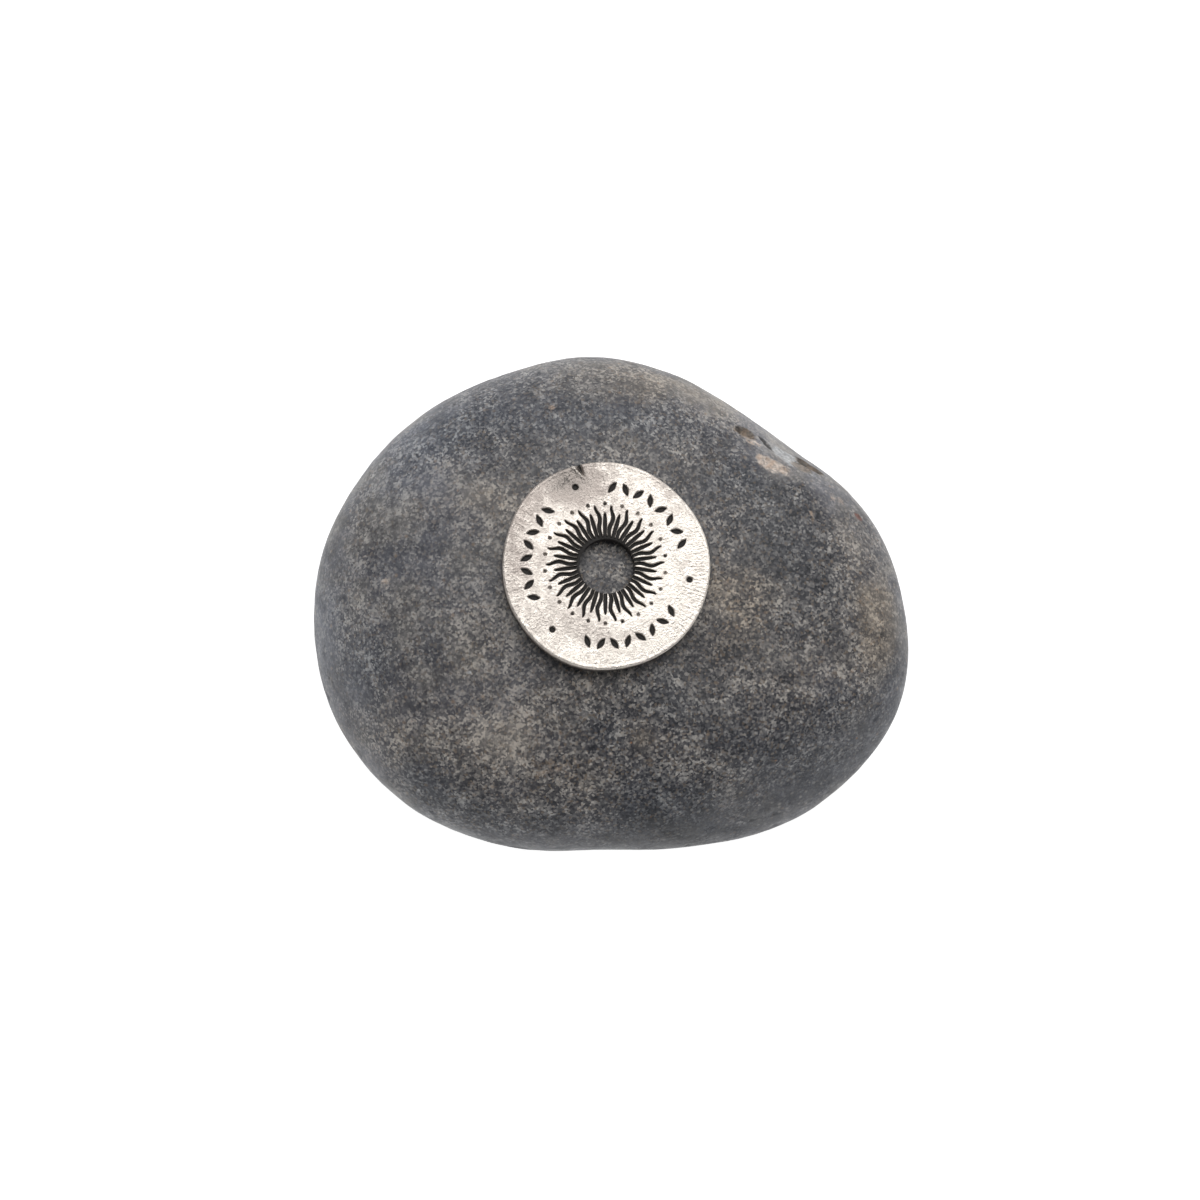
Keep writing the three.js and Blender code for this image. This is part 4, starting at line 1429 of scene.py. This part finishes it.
@dataclass(frozen=True)
class PewterDisc:
    """The cast disc: a closed ring whose face carries the sun, the border and the nick.

    Sizes are in millimetres and angles in degrees. Each lobe of the rim is a count, a height and a phase.
    Each wave is a wavelength and a height. The brim's raised line and its furrow are each a distance from
    the rim and a width. The dullness is how dull the face is; the nick's lip has less of it as a painted
    highlight, and the side towards the lower right has less of it as a painted reflection.
    """

    radius: float = 12.82
    thickness: float = 2.0
    edge: float = 0.2
    hole_radius: float = 3.4
    hole_offset: Pair = (0.16, -0.04)
    lobes: tuple[Triple, ...] = ((2, 0.11, 204), (3, 0.12, 343), (6, 0.055, 82))
    lean_right: float = 5.2
    lean_back: float = 2.4
    steps: int = 768
    face_rows: int = 98
    edge_rows: int = 4
    under_rows: int = 8
    sun: Sun = Sun()
    border: LeafBorder = LeafBorder()
    nick: Nick = Nick()
    sun_depth: float = 0.4
    border_depth: float = 0.32
    waves: tuple[Pair, ...] = ((9.0, 0.05), (3.4, 0.022), (1.1, 0.008))
    wave_seed: int = 3
    warp: float = 0.16
    warp_turn: float = 25.0
    brim_height: float = 0.012
    brim_line: Pair = (0.32, 0.1)
    brim_furrow: Pair = (0.6, 0.13)
    brim_start: float = 0.72
    brim_blend: float = 0.2
    brim_share: float = 0.6
    brim_clouding: float = 0.4
    cloud_wavelength: float = 5.0
    cloud_contrast: float = 2.0
    cloud_seed: int = 12
    wall_top: float = 0.85
    wall_blend: float = 0.3
    wall_darkness: float = 0.9
    # Painted shade: black in the dent, by its depth.
    dent_painted_shade: float = 2.7
    haze_and_painted_sheen: float = -0.08
    haze_clouding: float = 0.3
    haze_range: Pair = (-0.6, 0.9)
    # Painted reflection: the face is brighter towards this turn, the lower right, by this share.
    painted_reflection_turn: float = -55.0
    painted_reflection_share: float = 0.4
    # Painted highlight: the nick's lip is made brighter.
    lip_painted_highlight: float = 18.0
    dull_patches: tuple[DullPatch, ...] = (
        # Painted shade: the first patch darkens the dent beside the nick.
        DullPatch(-4.4, 10.6, 6.0, 4.2, 25, 1.3),
        DullPatch(-2.4, 8.9, 5.0, 3.4, 20, 0.6),
        DullPatch(-3.2, -7.2, 8.0, 4.0, -20, 0.6),
        DullPatch(-0.3, -8.6, 4.4, 2.4, 0, 0.35),
        DullPatch(-10.2, 6.8, 7.0, 3.0, 55, 0.6),
        DullPatch(7.2, 9.6, 7.0, 2.2, -50, 0.65),
        DullPatch(-10.9, -1.0, 9.0, 4.0, 90, 0.5),
        DullPatch(3.5, -8.6, 4.0, 2.0, 15, 0.3),
        DullPatch(-7.6, -8.2, 7.0, 4.0, -45, 0.3),
    )
    finish: PewterFinish = PewterFinish()

    def section(self) -> tuple[Array, Array, Array, Array]:
        """Lay out the closed section from the hole to the rim and back under.

        Formula: a row at share b and shift s lies b * spoke + s from the hole's wall, where the spoke is
        the width of metal at that angle. Each edge is a quarter circle.

        Returns:
            The share, the shift and the height of each row, and 1 for a row that the sun can reach, else 0.
        """
        top, e = self.thickness / 2.0, self.edge
        arc = (np.arange(self.edge_rows) + 0.5) / self.edge_rows * math.pi / 2.0
        inset, drop = e * (1.0 - np.cos(arc)), e * (1.0 - np.sin(arc))
        face = np.linspace(0.0, 1.0, self.face_rows)
        under = np.linspace(1.0, 0.0, self.under_rows)
        none, one = np.zeros(self.edge_rows), np.ones(self.edge_rows)
        share = [none, face, one, one, under, none]
        shift = [inset, e * (1 - 2 * face), -inset[::-1], -inset, e * (1 - 2 * under), inset[::-1]]
        low, high = np.full(self.under_rows, -top), np.full(self.face_rows, top)
        height = [top - drop, high, (top - drop)[::-1], drop - top, low, (drop - top)[::-1]]
        on_face = [one, np.ones(self.face_rows), none, none, np.zeros(self.under_rows), none]
        return tuple(np.concatenate(rows) for rows in (share, shift, height, on_face))

    def rim_radius(self, angle: Array) -> Array:
        """Give the rim's radius: the nominal one plus height * cos(count * angle - phase) for each lobe.

        Args:
            angle: angles round the disc, in radians.

        Returns:
            The radius at each angle.
        """
        total = np.full_like(angle, self.radius)
        for count, height, phase in self.lobes:
            total += height * np.cos(count * angle - math.radians(phase))
        return total

    def swell(self, x: Array, y: Array) -> Array:
        """Give the face's slow rise and fall.

        Formula: a saddle, warp * r^2 * cos(2 (angle - warp_turn)) with r a share of the radius, plus a low
        raised line with a furrow inside it along the rim, plus the sum over the waves of height times
        noise. The line and the furrow are brim_height * exp(-((inset - place) / width)^2) high and deep.

        Args:
            x: places along the disc's own +X from its middle, in millimetres.
            y: places along its +Y.

        Returns:
            The rise at each place.
        """
        turn = 2.0 * (np.arctan2(y, x) - math.radians(self.warp_turn))
        total = self.warp * (x * x + y * y) / self.radius**2 * np.cos(turn)
        inset = self.rim_radius(np.arctan2(y, x)) - np.hypot(x, y)
        line, furrow = (
            np.exp(-(((inset - place) / width) ** 2)) for place, width in (self.brim_line, self.brim_furrow)
        )
        total += self.brim_height * (line - furrow)
        place = np.stack([x, y, np.zeros_like(x)], axis=-1)
        for i, (wavelength, rise) in enumerate(self.waves):
            total += rise * LatticeNoise(self.wave_seed + i).at(place, wavelength)
        return total

    def tones(self, points: Array, height: Array, sunk: Array, lip: Array) -> dict[str, Array]:
        """Work out how black, how dull and how filed the metal is.

        Formula: the black is the largest of the sunk relief, the outer wall below its top, the crease and
        the dent; in the dent and on the crease's right flank it is painted shade. The dullness falls
        towards the lower right, as a painted reflection, and on the lip, as a painted highlight, and each
        dull patch adds to it.

        Args:
            points: the places in millimetres, rows by steps.
            height: the height of each row of the section, without the relief.
            sunk: the share of depth of the sun and the border.
            lip: the height of the nick's lip.

        Returns:
            The patina with painted shade, the dullness with painted reflection and highlight, and the filed
            brim at each place.
        """
        x, y = points[..., 0], points[..., 1]
        top = self.wall_top * self.thickness / 2.0
        wall = ease((top - height) / self.wall_blend) * self.wall_darkness
        # Painted shade: the dent is blackened by its depth, and the crease's right flank by the nick's
        # black.
        grime_and_painted_shade = np.maximum(self.nick.grime_and_painted_shade(x, y, self.radius), self.dent_painted_shade * self.nick.dent(x, y))
        clouds = LatticeNoise(self.cloud_seed).at(points, self.cloud_wavelength)
        # Painted reflection: the face grows less dull towards the lower right.
        bright = math.radians(self.painted_reflection_turn)
        turned = (x * math.cos(bright) + y * math.sin(bright)) / self.radius
        haze_and_painted_sheen = self.haze_and_painted_sheen - self.painted_reflection_share * turned + self.haze_clouding * clouds
        haze_and_painted_sheen += sum(patch.strength * patch.share(x, y) for patch in self.dull_patches)
        # Painted highlight: less dull on the nick's lip.
        haze_and_painted_sheen -= self.lip_painted_highlight * lip
        filed = ease((np.hypot(x, y) / self.radius - self.brim_start) / self.brim_blend)
        uneven = self.brim_clouding * np.clip(clouds * self.cloud_contrast, -1.0, 1.0)
        return {
            "patina_and_painted_shade": np.maximum(sunk, np.maximum(wall, grime_and_painted_shade)),
            "haze_and_painted_sheen": np.clip(haze_and_painted_sheen, *self.haze_range),
            "brim": filed * (self.brim_share + uneven),
        }

    def surface(self) -> tuple[Array, dict[str, Array]]:
        """Work out the disc lying flat, its thickness centred on height zero.

        Formula: each row of the section is carried round the hole and the rim together. The upper rows
        follow the face's swell, lip and dent, and reach no higher than the floors of the sun, border and
        nick.

        Returns:
            The places in millimetres, rows by steps, and the tones at each.
        """
        angle = np.arange(self.steps) * 2.0 * math.pi / self.steps
        spoke = np.stack([np.cos(angle), np.sin(angle)], axis=-1)
        hole = self.hole_offset + self.hole_radius * spoke
        rim = self.rim_radius(angle)[:, None] * spoke
        width = np.linalg.norm(rim - hole, axis=-1)
        share, shift, height, on_face = self.section()
        far = (share[:, None] * width + shift[:, None]) / width
        flat = hole[None] + (rim - hole)[None] * far[..., None]
        x, y = flat[..., 0], flat[..., 1]
        weight, upper = on_face[:, None], height[:, None] > 0
        sun = self.sun.mask(x, y) * weight
        border = self.border.mask(x, y) * weight
        cut = self.nick.cut(x, y, self.radius)
        lip = self.nick.lip(x, y, self.radius)
        level = self.thickness / 2.0 + self.swell(x, y) - self.nick.dent(x, y) + lip
        z = np.minimum(height[:, None] + level - self.thickness / 2.0, level - self.sun_depth * sun)
        z = np.minimum(z, level - self.border_depth * border)
        z = np.minimum(z, level - cut)
        points = np.stack([x, y, np.where(upper, z, height[:, None])], axis=-1)
        return points, self.tones(points, height[:, None], np.maximum(sun, border), lip)

    def build(self) -> bpy.types.Object:
        """Build and dress the disc, leaning as its solid does.

        Returns:
            The disc's object.
        """
        points, tones = self.surface()
        rows, steps = points.shape[:2]
        number = np.arange(rows * steps).reshape(rows, steps)
        down, on = np.roll(number, -1, axis=0), np.roll(number, -1, axis=1)
        both = np.roll(down, -1, axis=1)
        quads = np.stack([number, down, both, on], axis=-1).reshape(-1, 4)
        lean = (-math.radians(self.lean_back), math.radians(self.lean_right), 0.0)
        placed = points.reshape(-1, 3) @ np.array(Euler(lean).to_matrix()).T
        low, high = (np.array(corner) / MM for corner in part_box("disc"))
        centre = (low + high - placed.min(axis=0) - placed.max(axis=0)) / 2.0
        centre[2] = low[2] - placed[:, 2].min()
        placed = placed + centre
        attributes = {name: values.ravel() for name, values in tones.items()}
        piece = build_object("pewter_disc", placed, quads, attributes)
        piece.data.materials.append(self.finish.material(tuple(centre), lean))
        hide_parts("disc")
        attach(piece, BODY)
        return piece


# Studio


@dataclass(frozen=True)
class SoftBox:
    """A rectangular soft light that points at the stone."""

    name: str
    place: Triple
    size: Pair
    power: float
    colour: Triple = (1.0, 1.0, 1.0)

    def build(self) -> None:
        """Add the light."""
        lamp = bpy.data.lights.new(self.name, "AREA")
        lamp.shape = "RECTANGLE"
        lamp.size, lamp.size_y = self.size
        lamp.energy = self.power
        lamp.color = self.colour
        light = bpy.data.objects.new(self.name, lamp)
        light.location = self.place
        light.rotation_euler = (-Vector(self.place)).to_track_quat("-Z", "Y").to_euler()
        bpy.context.scene.collection.objects.link(light)


@dataclass(frozen=True)
class Studio:
    """A white sweep under plain soft light, and the camera above it.

    The room is pale near the horizon and dim overhead, where the softbox hangs. The floor, the lights and
    the camera's distances are in metres. Its aim, the width of its frame and its sensor are in millimetres.
    """

    floor_size: float = 24.0
    floor_grey: float = 0.5
    floor_roughness: float = 0.9
    floor_gloss: float = 0.1
    floor_glow: float = 0.95
    sky: float = 0.09
    horizon: float = 0.4
    horizon_blend: Pair = (0.1, 0.65)
    boxes: tuple[SoftBox, ...] = (
        SoftBox("overhead softbox", (0.10, 0.50, 0.90), (1.1, 0.95), 6.9),
    )
    camera_elevation: float = 82.0
    camera_distance: float = 0.45
    aim: Triple = (-1.32, 0.32, 13.0)
    frame_width: float = 151.7
    sensor: float = 36.0
    nearest: float = 0.01

    def build_floor(self) -> None:
        """Add the floor, a large plain square that also glows a little, as a lit sweep does."""
        half = self.floor_size / 2.0
        corners = [(-half, -half, 0.0), (half, -half, 0.0), (half, half, 0.0), (-half, half, 0.0)]
        mesh = bpy.data.meshes.new("sweep")
        mesh.from_pydata(corners, [], [(0, 1, 2, 3)])
        floor = bpy.data.objects.new("sweep", mesh)
        bpy.context.scene.collection.objects.link(floor)
        material, _, shader = new_material("white sweep")
        shader.inputs["Base Color"].default_value = (*[self.floor_grey] * 3, 1.0)
        shader.inputs["Roughness"].default_value = self.floor_roughness
        shader.inputs["Specular IOR Level"].default_value = self.floor_gloss
        shader.inputs["Emission Color"].default_value = (1.0, 1.0, 1.0, 1.0)
        shader.inputs["Emission Strength"].default_value = self.floor_glow
        mesh.materials.append(material)

    def build_sky(self) -> None:
        """Light the scene from all round, by the rise of each direction above the horizon."""
        world = bpy.data.worlds.new("studio")
        world.use_nodes = True
        background = next(node for node in world.node_tree.nodes if node.type == "BACKGROUND")
        background.inputs["Color"].default_value = (1.0, 1.0, 1.0, 1.0)
        sheet = Sheet(world.node_tree)
        heading = sheet.node("TexCoord", {}).outputs["Generated"]
        rise = sheet.node("SeparateXYZ", {0: heading}).outputs["Z"]
        strength = sheet.between(rise, self.horizon_blend, (self.horizon, self.sky))
        sheet.put(background.inputs["Strength"], strength)
        bpy.context.scene.world = world

    def build_camera(self) -> None:
        """Add the camera, which looks down on the stone at the photograph's angle."""
        lens = bpy.data.cameras.new("camera")
        lens.sensor_width = self.sensor
        lens.lens = lens.sensor_width * self.camera_distance / (self.frame_width * MM)
        lens.clip_start = self.nearest
        camera = bpy.data.objects.new("camera", lens)
        away = Vector(direction(-90.0, self.camera_elevation))
        level = Vector((1.0, 0.0, 0.0))
        upward = away.cross(level)
        aim = (level * self.aim[0] + upward * self.aim[1] + Vector((0.0, 0.0, self.aim[2]))) * MM
        camera.location = aim + away * self.camera_distance
        camera.rotation_euler = (-away).to_track_quat("-Z", "Y").to_euler()
        bpy.context.scene.collection.objects.link(camera)
        bpy.context.scene.camera = camera

    def build(self) -> None:
        """Add the floor, the lights and the camera."""
        self.build_floor()
        self.build_sky()
        for box in self.boxes:
            box.build()
        self.build_camera()
        bpy.context.scene.view_settings.view_transform = "Standard"


def report(piece: bpy.types.Object) -> None:
    """Log a piece's name, faces and size in millimetres."""
    size = [round(side / MM, 2) for side in piece.dimensions]
    log.info("%s: %d faces, %s mm", piece.name, len(piece.data.polygons), size)


def main() -> None:
    """Build the studio, the pebble and the disc."""
    logging.basicConfig(level=logging.INFO, format="%(name)s: %(message)s")
    Studio().build()
    report(Pebble().build())
    report(PewterDisc().build())


if __name__ == "__main__":
    main()
